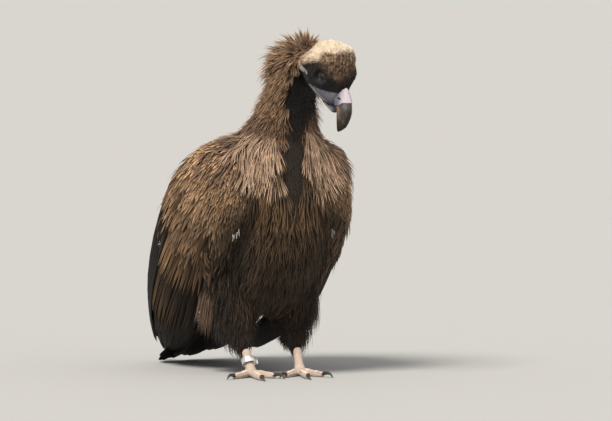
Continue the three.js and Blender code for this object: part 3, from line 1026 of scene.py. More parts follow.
class Hide:
    """The skin as a surface to lay a coat on."""

    TRIES = 4.5  # places tried for each root's own square
    FAINT = 0.02  # the share of roots below which none is tried

    def __init__(self, skin: Thing, stance: Stance) -> None:
        mesh = skin.data
        mesh.calc_loop_triangles()
        self.corners = read(mesh.loop_triangles, "vertices", 3, np.int32)
        loops = read(mesh.loop_triangles, "loops", 3, np.int32)
        self.chart = read(mesh.uv_layers["OFBake"].uv, "vector", 2, np.float32)[loops]
        self.labels = parts_of(skin)
        self.vertices, self.normals = vertices_of(skin), normals_of(skin)
        self.tree = BVHTree.FromPolygons(self.vertices.tolist(), self.corners.tolist())
        self.stance = stance
        a, b, c = np.moveaxis(self.vertices[self.corners], 1, 0)
        self.areas = np.linalg.norm(np.cross(b - a, c - a), axis=1) / 2

    def places(self, faces: Array, shares: Array) -> Places:
        """Returns the places at these shares of the corners of these faces."""
        corners = self.corners[faces]
        at = (self.vertices[corners] * shares[..., None]).sum(axis=1)
        normal = unit((self.normals[corners] * shares[..., None]).sum(axis=1))
        return Places(at, normal, self.labels[corners[:, 0]], self.stance)

    def shares(self, points: Array, faces: Array) -> Array:
        """Returns each point's shares of the corners of its face."""
        a, b, c = np.moveaxis(self.vertices[self.corners[faces]], 1, 0)
        whole = np.cross(b - a, c - a)
        size = np.maximum((whole * whole).sum(axis=1), 1e-18)
        second = (np.cross(points - a, c - a) * whole).sum(axis=1) / size
        third = (np.cross(b - a, points - a) * whole).sum(axis=1) / size
        out = np.clip(np.column_stack([1 - second - third, second, third]), 0, 1)
        return out / out.sum(axis=1, keepdims=True)

    def snap(self, points: Array) -> tuple[Array, Array]:
        """Returns the nearest places on the skin and its smooth normals there."""
        at, faces = self.nearest(points)
        return at, self.facing(at, faces)

    def nearest(self, points: Array) -> tuple[Array, Array]:
        """Returns the nearest places on the skin and their faces."""
        found = [self.tree.find_nearest(p) for p in points.tolist()]
        return np.array([f[0] for f in found]), np.array([f[2] for f in found])

    def facing(self, at: Array, faces: Array) -> Array:
        """Returns the skin's smooth normals at places on these faces."""
        return unit((self.normals[self.corners[faces]] * self.shares(at, faces)[..., None]).sum(axis=1))

    def chart_at(self, at: Array, faces: Array) -> Array:
        """Returns the points on the skin's map of places on these faces."""
        return (self.chart[faces] * self.shares(at, faces)[..., None]).sum(axis=1)

    def chart_near(self, points: Array) -> Array:
        """Returns the points on the skin's map nearest to these places."""
        return self.chart_at(*self.nearest(points))

    def scatter(
        self, where: Callable[[Places], Array], spacing: float, rng: np.random.Generator
    ) -> tuple[Places, Array]:
        """Sows roots at an even spacing.

        Args:
            where: gives the share of roots kept at each place.
            spacing: the least distance between two roots, in millimetres.
            rng: the source of chance.

        Returns:
            The roots' places, and their points on the skin's map.
        """
        everywhere = np.arange(len(self.corners))
        middle = self.places(everywhere, np.full((len(everywhere), 3), 1 / 3))
        weight = self.areas * (where(middle) > self.FAINT)
        total = weight.sum()
        if total <= 0:
            raise ValueError("a tract has no place on the skin")
        count = int(self.TRIES * total / (spacing * MM) ** 2)
        faces = rng.choice(len(everywhere), count, p=weight / total)
        a, b = rng.random((2, count))
        over = a + b > 1
        a[over], b[over] = 1 - a[over], 1 - b[over]
        shares = np.column_stack([a, b, 1 - a - b])
        spots = self.places(faces, shares)
        keen = where(spots) > rng.random(count)
        faces, shares, at = faces[keen], shares[keen], spots.at[keen]
        tree = KDTree(len(at))
        for i, point in enumerate(at.tolist()):
            tree.insert(point, i)
        tree.balance()
        free = np.ones(len(at), bool)
        kept = []
        for i, point in enumerate(at.tolist()):
            if free[i]:
                kept.append(i)
                for _, j, _ in tree.find_range(point, spacing * MM):
                    free[j] = False
        kept = np.array(kept)
        chart = (self.chart[faces[kept]] * shares[kept][..., None]).sum(axis=1)
        return self.places(faces[kept], shares[kept]), chart


# ---------------------------------------------------------------- the lie of the coat


class Flow:
    """Which way the coat lies, blended from a few listed directions."""

    # x, y, z in the bird's frame, the direction there, and how far it holds, in millimetres
    BODY = [
        (0, -40, 680, 0.0, 0.9, 0.3, 30), (0, -10, 650, 0.0, 0.75, -0.30, 35),
        (40, -40, 640, 0.8, 0.5, -0.2, 30), (45, -30, 600, 0.75, 0.45, -0.5, 35),
        (10, 10, 600, 0.0, 0.75, -0.65, 45), (15, 40, 550, 0.05, 0.55, -0.83, 50),
        (25, 80, 500, 0.08, 0.55, -0.83, 60), (30, 140, 430, 0.0, 0.62, -0.78, 70),
        (25, 215, 270, 0.0, 0.62, -0.78, 70), (15, 275, 170, 0.0, 0.85, -0.50, 60),
        (0, -100, 590, 0.0, 0.12, -1.0, 30), (30, -90, 580, 0.6, 0.4, -0.7, 28),
        (25, -95, 520, 0.35, 0.1, -0.95, 35), (60, -50, 590, 0.6, 0.4, -0.7, 40),
        (75, -45, 510, 0.5, 0.2, -0.85, 45), (40, -95, 430, 0.12, -0.1, -1.0, 50),
        (40, -95, 350, 0.05, 0.1, -1.0, 55), (30, -75, 260, 0.04, 0.35, -0.94, 60),
        (25, -20, 180, 0.0, 0.70, -0.70, 60), (20, 80, 110, 0.0, 0.95, -0.25, 60),
        (20, 200, 90, 0.0, 1.0, 0.05, 60), (100, -35, 480, 0.55, 0.15, -0.83, 40),
        (100, -60, 430, 0.18, 0.05, -1.0, 45), (130, -60, 360, 0.10, 0.22, -0.97, 45),
        (112, -45, 310, 0.0, 0.42, -0.90, 40), (150, 0, 400, 0.12, 0.38, -0.92, 50),
        (165, 60, 370, 0.02, 0.52, -0.85, 60), (100, 80, 450, 0.30, 0.50, -0.80, 50),
        (170, 120, 290, 0.0, 0.66, -0.75, 60), (165, 200, 220, -0.05, 0.74, -0.68, 70),
        (140, 300, 140, -0.1, 0.78, -0.62, 80), (100, 420, 70, -0.1, 0.88, -0.46, 80),
        (75, 80, 200, 0.08, -0.12, -1.0, 50), (65, 55, 120, 0.0, -0.12, -1.0, 45),
        (60, 40, 70, 0.0, -0.05, -1.0, 40), (60, 145, 150, 0.0, 0.08, -1.0, 45),
    ]
    # forward, up, right of the head, and the direction there in the same frame
    HEAD = [
        (30, 20, 8, -1.0, 0.35, 0.1, 16), (0, 48, 0, -1.0, 0.05, 0.0, 26),
        (-45, 52, 0, -1.0, -0.3, 0.0, 26), (-78, 15, 0, -0.5, -0.85, 0.2, 26),
        (-30, 40, 35, -1.0, -0.25, 0.15, 22), (8, 28, 34, -0.95, 0.15, 0.3, 14),
        (24, 8, 20, -0.85, -0.1, 0.5, 12), (-20, -8, 42, -0.9, -0.4, 0.1, 18),
        (-45, -8, 42, -0.9, -0.45, 0.1, 20), (4, -30, 15, -1.0, -0.15, 0.1, 16),
        (-25, -40, 10, -0.85, -0.5, 0.05, 20), (-60, -20, 30, -0.4, -0.9, 0.1, 22),
    ]

    def __init__(self, stance: Stance) -> None:
        places, aims, reaches = [], [], []
        for row in self.BODY:
            at, aim = np.array(row[:3]), np.array(row[3:6])
            for flip in ((1, 1, 1), (-1, 1, 1)):
                places.append(stance.world(at * flip + [neck_axis(at[2])[0], 0, 0]))
                aims.append(aim * flip)
                reaches.append(row[6])
        for row in self.HEAD:
            for flip in ((1, 1, 1), (1, 1, -1)):
                places.append(stance.head_world(np.array(row[:3]) * flip))
                aims.append(np.array(row[3:6]) * flip @ stance.head_axes())
                reaches.append(row[6])
        self.places, self.aims, self.reaches = np.array(places), unit(np.array(aims)), np.array(reaches) * MM


    def at(self, points: Array, normals: Array) -> Array:
        """Returns the direction of the coat at points, along the skin."""
        gap = ((points[:, None] - self.places) ** 2).sum(axis=-1) / self.reaches**2
        aim = (1.0 / (0.05 + gap) ** 3) @ self.aims
        return unit(aim - normals * (aim * normals).sum(axis=1, keepdims=True))


# ---------------------------------------------------------------- vanes


class Outline(Enum):
    """The outline of a vane: its width at the root, where it is widest, and how blunt its tip is."""

    LANCE = (0.35, 0.42, 1.5)
    BLADE = (0.45, 0.55, 4.0)
    HAIR = (0.7, 0.2, 1.2)
    PLATE = (0.85, 0.5, 5.0)
    POINT = (0.5, 0.62, 1.9)
    ROUND = (0.45, 0.7, 8.0)

    def half(self, t: Array) -> Array:
        """Returns the share of the full half width at t, from 0 at the root to 1 at the tip."""
        base, peak, blunt = self.value
        rise = base + (1 - base) * step(0, peak, t)
        return rise * (1 - np.clip((t - peak) / (1 - peak), 0, 1) ** blunt)


class Section(Enum):
    """The section of a vane: each corner's place across it, and whether it is on top or beneath."""

    RIDGE = ((-1.0, 0.0), (0.0, 1.0), (1.0, 0.0))
    LENS = ((-1.0, 0.0), (0.0, 1.0), (1.0, 0.0), (0.0, -1.0))
    BROAD = (
        (-1.0, 0.0), (-0.5, 1.0), (0.0, 1.3), (0.5, 1.0), (1.0, 0.0), (0.5, -1.0), (0.0, -1.0), (-0.5, -1.0),
    )


@dataclass(frozen=True)
class Vane:
    """The make of one kind of vane. Lengths are in millimetres."""

    length: float
    width: float
    outline: Outline = Outline.LANCE
    section: Section = Section.LENS
    stations: int = 6
    thickness: float = 0.5
    cup: float = 0.15  # how far the edges hang below the shaft, as a share of the half width
    ragged: float = 0.15  # how uneven its edges are
    twist: float = 0.25  # radians of chance roll
    vary: float = 0.2  # of its length
    root: Colour = Tint.BELLY
    tip: Colour = Tint.BELLY_TIP
    tip_from: float = 0.55
    rim: float = 0.2  # how far its edges go towards the tip's colour
    shade: float = 0.22  # of chance in brightness
    dense: float = 1.0  # above 1 draws the stations together towards the tip

    def stops(self) -> Array:
        """Returns where the stations lie, from 0 at the root to 1 at the tip."""
        return 1 - np.linspace(1, 0, self.stations) ** self.dense


@dataclass
class Spines:
    """The lines that vanes follow.

    Args:
        at: places in metres, by vane and station.
        normal: the way each vane faces, by vane and station.
        chart: each root's point on the skin's map.
        root: each vane's colour at its root, or None for the vane's own.
        tip: each vane's colour at its tip, or None for the vane's own.
        size: each vane's share of its full width.
    """

    at: Array
    normal: Array
    chart: Array
    root: Array | None = None
    tip: Array | None = None
    size: Array | float = 1.0


class Plumage:
    """Makes meshes of many vanes at once."""

    LIMIT = 190_000  # triangles in one piece

    def __init__(self, materials: dict[str, Material]) -> None:
        self.materials = materials
        self.total = 0

    def make(
        self, name: str, vane: Vane, spines: Spines, slot: str, finish: str, seed: int, *replaced: str
    ) -> None:
        """Builds the vanes along their spines, as one piece or more.

        Args:
            name: the piece's name.
            vane: the make of the vanes.
            spines: the lines that they follow.
            slot: the record's slot, which is not used.
            finish: the material's key.
            seed: starts the chance.
            *replaced: the nodes that it stands for, if any.
        """
        arrays = self.shape(vane, spines, np.random.default_rng(seed))
        ring = len(vane.section.value)
        count, stations = spines.at.shape[:2]
        each = 2 * ring * (stations - 2) + ring + (ring - 2)  # along its sides, at its tip and at its root
        share = max(1, math.ceil(count * each / self.LIMIT))
        for number, chunk in enumerate(np.array_split(np.arange(count), share)):
            label = name if share == 1 else f"{name}_{number + 1}"
            thing = self.mesh(label, *(values[chunk] for values in arrays))
            dress(thing, label, self.materials[finish], slot, *replaced)
            self.total += len(chunk) * each
            log.info("%s: %d vanes, %d triangles", label, len(chunk), len(chunk) * each)

    @staticmethod
    def shape(vane: Vane, spines: Spines, rng: np.random.Generator) -> tuple[Array, ...]:
        """Works out every vertex of the vanes, by vane, station and corner.

        Args:
            vane: the make of the vanes.
            spines: the lines that they follow.
            rng: the source of chance.

        Returns:
            Places, colours, marks and points on the skin's map.
        """
        count, stations = spines.at.shape[:2]
        t = vane.stops()
        along = unit(np.gradient(spines.at, axis=1))
        face = unit(spines.normal - along * (spines.normal * along).sum(axis=-1, keepdims=True))
        across = np.cross(along, face)
        roll = (rng.normal(0, vane.twist, (count, 1)) * t)[..., None]
        rolled = across * np.cos(roll) + face * np.sin(roll)
        across, face = rolled, face * np.cos(roll) - across * np.sin(roll)
        size = np.broadcast_to(np.asarray(spines.size, float), (count,))[:, None]
        half = vane.width / 2 * MM * vane.outline.half(t)[None] * size
        jag = 1 + vane.ragged * np.clip(rng.normal(0, 1, (2, count, stations)), -1.6, 1.6)
        lengths = np.linalg.norm(spines.at[:, -1] - spines.at[:, 0], axis=1)[:, None] / MM
        chance = rng.random((count, 1))
        corners = np.array(vane.section.value)
        verts, colours, marks, chart = [], [], [], []
        root = np.broadcast_to(np.array(vane.root if spines.root is None else spines.root), (count, 3))
        tip = np.broadcast_to(np.array(vane.tip if spines.tip is None else spines.tip), (count, 3))
        bright = (1 + 0.4 * vane.shade * rng.normal(0, 1, (count, 1, 1))).clip(0.5, 1.6)
        for s, side in corners:
            wide = half * (jag[0] if s < 0 else jag[1]) * s
            thick = vane.thickness * MM * side * (1 - 0.6 * t)[None] - vane.cup * half * s * s
            verts.append(spines.at + across * wide[..., None] + face * thick[..., None])
            share = np.clip(step(vane.tip_from, 1.0, t)[None] + vane.rim * s * s, 0, 1) * np.ones((count, 1))
            colours.append(mixed(root[:, None], tip[:, None], share) * bright)
            parts = [np.full((count, stations), s), t * lengths, chance * np.ones_like(half)]
            marks.append(np.stack(parts, axis=-1))
            patch = np.stack([0.5 * s * np.ones_like(half), (t - 0.5) * np.ones_like(half)], axis=-1) * PATCH
            chart.append(np.clip(spines.chart[:, None] + patch, 0, 1))
        return tuple(np.stack(group, axis=2) for group in (verts, colours, marks, chart))

    @staticmethod
    def mesh(name: str, verts: Array, colours: Array, marks: Array, chart: Array) -> Thing:
        """Joins rings of vertices into closed vanes, each ending in one point.

        Args:
            name: the mesh's name.
            verts: places by vane, station and corner.
            colours: the colour of each.
            marks: what the finishes read as "vane" at each.
            chart: the point of each on the skin's map.

        Returns:
            The new object.
        """
        count, stations, ring = verts.shape[:3]
        size = ring * (stations - 1) + 1  # the last station is one point

        def pack(values: Array) -> Array:
            """Returns the values of every ring, then of the tip, vane by vane."""
            rings = values[:, :-1].reshape(count, size - 1, values.shape[-1])
            tips = values[:, -1:].mean(axis=2)
            return np.concatenate([rings, tips], axis=1).reshape(count * size, values.shape[-1])

        first = np.arange(ring)
        after = (first + 1) % ring
        last = ring * (stations - 2)
        around = np.column_stack([first, after, after + ring, first + ring])
        quads = np.concatenate([around + k for k in range(0, last, ring)])
        points = np.column_stack([first + last, after + last, np.full(ring, size - 1)])
        loops = np.concatenate([quads.ravel(), points.ravel(), first[::-1]])
        loops = (loops[None] + np.arange(count)[:, None] * size).ravel()
        sizes = np.tile(np.concatenate([np.full(len(quads), 4), np.full(ring, 3), [ring]]), count)
        mesh = bpy.data.meshes.new(name)
        mesh.vertices.add(count * size)
        mesh.vertices.foreach_set("co", pack(verts).astype(np.float32).ravel())
        mesh.loops.add(len(loops))
        mesh.loops.foreach_set("vertex_index", loops.astype(np.int32))
        mesh.polygons.add(len(sizes))
        mesh.polygons.foreach_set("loop_start", np.concatenate([[0], np.cumsum(sizes)[:-1]]).astype(np.int32))
        mesh.update(calc_edges=True)
        thing = bpy.data.objects.new(name, mesh)
        bpy.context.scene.collection.objects.link(thing)
        flat = pack(marks)
        rims = (np.abs(flat[read(mesh.edges, "vertices", 2, np.int32), 0]) > 0.99).all(axis=1)
        mesh.attributes.new("sharp_edge", "BOOLEAN", "EDGE").data.foreach_set("value", rims)
        paint(thing, pack(colours))
        mark(thing, "vane", flat)
        layer = mesh.uv_layers.new(name="OFBake")
        layer.uv.foreach_set("vector", pack(chart)[loops].astype(np.float32).ravel())
        mesh.validate()
        return thing


# ---------------------------------------------------------------- the coat


@dataclass(frozen=True)
class Tract:
    """A stretch of coat that follows the skin. Lengths are in millimetres."""

    name: str
    vane: Vane
    where: Callable[[Places], Array]
    spacing: float
    rise: float  # of the tips over the skin
    slot: str
    finish: str
    strands: int = 1  # in each tuft
    splay: float = 0.3  # radians that the outer strands of a tuft turn away
    spread: float = 0.0  # width of a tuft at its root
    sink: float = 1.5  # of the roots under the skin
    early: float = 1.5  # how soon a vane lifts
    straight: float = 0.0  # 0 follows the skin, 1 keeps the first direction
    droop: float = 0.0  # how far the tips hang
    stray: float = 0.15  # radians of chance in the direction
    clump: float = 0.0  # radians of a slow swing in the direction
    grade: Callable[[Places], Array] | None = None  # share of the full length
    tint: Callable[[Places], tuple[Array, Array]] | None = None


@dataclass
class Coat:
    """Down and small feathers over the whole skin, tract by tract."""

    hide: Hide
    flow: Flow
    plumage: Plumage
    marks: Markings = field(default_factory=Markings)
    seed: int = 11

    def build(self) -> None:
        """Lays every tract."""
        for number, tract in enumerate(self.tracts()):
            self.lay(tract, self.seed + 7 * number)

    def lay(self, tract: Tract, seed: int) -> None:
        """Sows one tract and lets its vanes follow the skin.

        Args:
            tract: the tract.
            seed: starts the chance.
        """
        rng = np.random.default_rng(seed)
        roots, chart = self.hide.scatter(tract.where, tract.spacing, rng)
        tufts, many = len(roots.at), tract.strands
        grade = np.ones(tufts) if tract.grade is None else tract.grade(roots)
        size = grade * (1 + tract.vane.vary * rng.uniform(-1, 1, tufts))
        yaw = tract.stray * rng.normal(0, 1, tufts) + tract.clump * ripple(roots.mm, 26.0, 7.0)
        colours = (tract.vane.root, tract.vane.tip) if tract.tint is None else tract.tint(roots)
        glow = (1 + tract.vane.shade * rng.normal(0, 0.7, (tufts, 1))).clip(0.45, 1.8)
        place = np.zeros(tufts)
        if many > 1:
            place = np.tile(np.linspace(-1, 1, many), tufts) + rng.normal(0, 0.2, tufts * many)

        def each(values: Array) -> Array:
            """Returns a tuft's value for each of its strands."""
            return np.repeat(values, many, axis=0)

        pair = [each(np.broadcast_to(np.asarray(colour), (tufts, 3)) * glow) for colour in colours]
        yaw = each(yaw) + tract.splay * place
        size = each(size) * (1 - 0.28 * np.abs(place) * (many > 1))
        grown = Places(each(roots.at), each(roots.normal), each(roots.part), roots.stance)
        side = np.cross(grown.normal, self.flow.at(grown.at, grown.normal))
        grown.at = grown.at + side * (place * tract.spread / 2 * MM)[:, None]
        spines = self.follow(tract, grown, size * tract.vane.length * MM, yaw, rng)
        lines = Spines(*spines, each(chart), *pair, each(np.sqrt(grade)))
        self.plumage.make(tract.name, tract.vane, lines, tract.slot, tract.finish, seed + 1)

    def follow(
        self, tract: Tract, roots: Places, lengths: Array, yaw: Array, rng: np.random.Generator
    ) -> tuple[Array, Array]:
        """Lets vanes grow over the skin.

        Args:
            tract: the tract that they belong to.
            roots: their roots on the skin.
            lengths: how long each is, in metres.
            yaw: how far each turns from the lie of the coat, in radians.
            rng: the source of chance.

        Returns:
            Each vane's line and the way it faces, station by station.
        """
        count, stations = len(lengths), tract.vane.stations
        t = np.linspace(0, 1, stations)[None, :, None]
        stride = lengths[:, None] / (stations - 1)
        start = self.turn(self.flow.at(roots.at, roots.normal), roots.normal, yaw)
        direct = roots.at[:, None] + start[:, None] * lengths[:, None, None] * t
        path, faces = direct, np.repeat(roots.normal[:, None], stations, axis=1)
        if tract.straight < 1:
            steps = [(roots.at, roots.normal)]
            for _ in range(stations - 1):
                at, normal = steps[-1]
                aim = self.turn(self.flow.at(at, normal), normal, yaw)
                steps.append(self.hide.snap(at + aim * stride))
            path, faces = (np.stack(values, axis=1) for values in zip(*steps))
        straight = tract.straight * t
        path = path * (1 - straight) + direct * straight
        faces = unit(faces * (1 - straight) + roots.normal[:, None] * straight)
        rise = tract.rise * (1 + 0.35 * rng.uniform(-1, 1, (count, 1, 1)))
        rise = rise * (lengths[:, None, None] / MM / tract.vane.length)
        height = -tract.sink + (rise + tract.sink) * (1 - (1 - t) ** tract.early)
        return path + faces * height * MM + DOWN * tract.droop * t * t * MM, faces

    @staticmethod
    def turn(aim: Array, normal: Array, yaw: Array) -> Array:
        """Returns directions turned about the normals."""
        side = np.cross(normal, aim)
        return aim * np.cos(yaw)[:, None] + side * np.sin(yaw)[:, None]

    # Where each tract grows: 1 in the middle of its stretch, 0 outside it.

    def skull(self, p: Places) -> Array:
        """The head's own form, away from eyes, bill and bare ears."""
        eye = np.linalg.norm(p.head[:, :2] - Stance.EYES[:2], axis=1) + 60 * (np.abs(p.head[:, 2]) < 20)
        bare = (1 - self.marks.ear(p)) * (1 - self.marks.gape(p))
        return self.marks.skull(p) * p.on("head") * step(10.0, 12.5, eye) * bare

    def crown(self, p: Places) -> Array:
        """The pale woolly crown."""
        return self.skull(p) * step(0.3, 0.7, self.marks.crown(p))

    def forehead(self, p: Places) -> Array:
        """The brown forehead and brows."""
        return self.skull(p) * step(0.3, 0.7, self.marks.brow(p)) * step(0.7, 0.3, self.marks.crown(p))

    def face(self, p: Places) -> Array:
        """The black bristles of face and throat."""
        return self.skull(p) * step(0.6, 0.3, self.marks.brow(p)) * step(0.7, 0.3, self.marks.crown(p))

    def throat(self, p: Places) -> Array:
        """The black down of the foreneck."""
        black = np.maximum(self.marks.strip(p), self.marks.collar(p))
        return black * (1 - self.marks.skull(p) * p.on("head")) * p.on("neck", "trunk", "head")

    def crop(self, p: Places) -> Array:
        """The short dark feathers over the crop."""
        return self.marks.crop(p) * p.on("neck", "trunk")

    def ruff(self, p: Places) -> Array:
        """The long spikes behind the head and down the sides of the neck."""
        free = step(0.5, 0.1, np.maximum(self.marks.strip(p), self.marks.collar(p)))
        return p.on("neck") * step(505, 545, p.z) * free * step(1.1, 1.2, self.marks.reach(p))

    def nape(self, p: Places) -> Array:
        """The raised spikes on top of the neck, behind the crown."""
        return p.on("neck", "head") * step(614, 628, p.z) * step(0.95, 1.0, self.marks.reach(p))

    @staticmethod
    def whorl(p: Places) -> Array:
        """The middle of the whorl behind the crown, where the spikes part."""
        return step(24, 17, np.linalg.norm(p.mm - [30, -86, 641], axis=1))

    def neck(self, p: Places) -> Array:
        """The neck's sides below the ruff."""
        bare = step(0.5, 0.1, self.marks.strip(p)) * (1 - self.marks.crop(p))
        return p.on("neck", "trunk") * bare * step(455, 480, p.z) * step(560, 530, p.z)

    def breast(self, p: Places) -> Array:
        """The pale tufts at both sides of the crop."""
        aside = np.abs(p.x - 3)
        high = step(392, 410, p.z) * step(496, 476, p.z)
        return p.on("trunk", "neck") * step(28, 37, aside) * step(94, 82, aside) * high * step(0, -25, p.y)

    def belly(self, p: Places) -> Array:
        """Breast and belly under the tufts, down to the legs."""
        under = step(458, 430, p.z + 0.9 * np.maximum(np.abs(p.x - 3) - 20, 0))
        free = step(0.6, 0.3, self.marks.crop(p))
        return p.on("trunk") * under * free * step(150, 185, p.z) * step(60, 20, self.astern(p))

    def vent(self, p: Places) -> Array:
        """The belly behind and between the legs, to the root of the tail."""
        down = step(0.3, -0.1, p.normal[:, 2])
        return p.on("trunk") * np.maximum(step(40, 80, self.astern(p)) * down, step(185, 160, p.z) * down)

    @staticmethod
    def astern(p: Places) -> Array:
        """Returns how far each place is behind the belly's slanting middle, in millimetres."""
        return p.y - 0.4 * (300 - p.z)

    def mantle(self, p: Places) -> Array:
        """The back, from the foot of the neck to the rump."""
        above = step(-0.1, 0.2, p.normal[:, 1] + p.normal[:, 2])
        return p.on("trunk", "neck") * above * step(545, 515, p.z) * step(-40, 0, p.y)

    def scapulars(self, p: Places) -> Array:
        """The shoulders, over the wings' upper edges."""
        wing = p.on(*WINGS)
        return wing * step(400, 425, p.z + 0.35 * np.maximum(p.y, 0)) * step(165, 125, np.abs(p.x))

    @staticmethod
    def run(p: Places) -> Array:
        """Returns the way along the folded wing, in millimetres back from its bend."""
        return 0.851 * (p.y - 30) - 0.527 * (p.z - 228)

    @staticmethod
    def over_edge(p: Places) -> Array:
        """Returns the height over the folded wing's lower edge, in millimetres."""
        return p.z - np.interp(p.y, (-72, -31, 30, 88, 160, 236, 306), (322, 278, 228, 172, 114, 66, 36))

    def lesser(self, p: Places) -> Array:
        """The small coverts over the front of the wing."""
        return p.on(*WINGS) * step(-50, -90, self.run(p))

    def middle(self, p: Places) -> Array:
        """The larger coverts behind them."""
        out = step(2, 12, self.over_edge(p)) * step(-0.35, 0.0, p.normal[:, 0] * np.sign(p.x))
        return p.on(*WINGS) * step(-110, -70, self.run(p)) * step(50, 10, self.run(p)) * out

    def inner(self, p: Places) -> Array:
        """The long coverts on top of the wing, beside the back."""
        top = step(0.1, 0.4, p.normal[:, 2] - 0.8 * np.abs(p.normal[:, 0]) + 0.3)
        return p.on(*WINGS) * step(20, 60, self.run(p)) * step(400, 340, self.run(p)) * top

    def flecks(self, p: Places) -> Array:
        """The white down at each wing's front edge."""
        middles = ((-101, -33, 286), (103, -31, 292), (-166, 197, 261))
        radii = ((8, 10, 15), (6, 8, 10), (9, 7, 7))
        away = [np.linalg.norm((p.mm - middle) / radius, axis=1) for middle, radius in zip(middles, radii)]
        return step(1.1, 0.8, np.min(away, axis=0))

    def trouser(self, p: Places) -> Array:
        """The hair-like feathers of the thighs."""
        return p.on(*THIGHS)

    @staticmethod
    def lesser_size(p: Places) -> Array:
        """Returns the length of the small coverts: shortest in front."""
        return 0.55 + 0.55 * step(-60, 30, p.y)

    @staticmethod
    def ruff_size(p: Places) -> Array:
        """Returns the length of the ruff's spikes: longest high up behind the head."""
        return 0.85 + 0.65 * step(575, 625, p.z) * step(-70, -30, p.y)

    @staticmethod
    def outer(p: Places) -> Array:
        """Returns the length of the thigh's feathers: short inside, long outside and behind."""
        behind = step(60, 105, p.y) * step(50, 76, np.abs(p.x))
        return 0.62 + 0.4 * step(45, 70, np.abs(p.x)) + 0.75 * behind

    @staticmethod
    def belly_tint(p: Places) -> tuple[Array, Array]:
        """Returns root and tip colours of the belly, darkest low down, with painted shade beside the wings,
        where they overlap it.
        """
        dark = 0.75 * step(330, 230, p.z)
        # painted shade: the belly's tips beside the wings darken towards the root colour
        beside = step(56, 76, np.abs(p.x)) * step(430, 380, p.z)
        tip = mixed(mixed(Tint.BELLY_TIP, Tint.TROUSER_TIP, dark), Tint.BELLY, 0.8 * beside)
        tip = tip * (1 + 0.45 * step(290, 370, p.z))[:, None]
        return np.broadcast_to(np.array(Tint.BELLY), p.mm.shape), tip

    @staticmethod
    def thigh_tint(p: Places) -> tuple[Array, Array]:
        """Returns root and tip colours of the thigh's feathers, paler behind."""
        flap = step(88, 120, p.y) * step(55, 80, np.abs(p.x))
        return mixed(Tint.TROUSER, Tint.BELLY_TIP, 0.5 * flap), mixed(Tint.TROUSER_TIP, Tint.FLAP, flap)

    @staticmethod
    def wing_tint(p: Places) -> tuple[Array, Array]:
        """Returns root and tip colours of the small coverts, with painted shade: darkest along the wing's
        front edge, where it meets the body, and low on the left wing.
        """
        # painted shade: the left wing, low down and behind its front, lies in shade
        left = 0.8 * (p.x > 0) * step(330, 280, p.z) * step(-90, -50, Coat.run(p))
        # painted shade along the wing's lower edge, where it overlaps the belly, joined with the left wing's
        edge = np.maximum(step(52, 16, Coat.over_edge(p)), left)
        pale = 0.60 + 1.35 * step(290, 430, p.z) + 0.25 * ripple(p.mm, 45.0, 9.0)
        root, tip = np.array([Tint.COVERT]) * pale[:, None], np.array([Tint.COVERT_TIP]) * pale[:, None]
        return mixed(root, Tint.BELLY, 0.8 * edge), mixed(tip, Tint.BELLY_TIP, 0.8 * edge)

    def tracts(self) -> list[Tract]:
        """Returns the tracts, from the tail's roots forwards to the face."""
        dark, brown, ruffed = "dark_plumage", "brown_plumage", "ruff_plumage"

        def strand(
            length: float, width: float, root: Colour, tip: Colour, stations: int = 6, **rest: float
        ) -> Vane:
            """Returns one thin strand of a tuft."""
            rest |= {"root": root, "tip": tip}
            return Vane(length, width, Outline.HAIR, Section.RIDGE, stations, 0.5, 0.1, 0.12, **rest)

        def lance(length: float, width: float, stations: int, **rest: object) -> Vane:
            """Returns one small feather."""
            return Vane(length, width, Outline.LANCE, Section.LENS, stations, **rest)

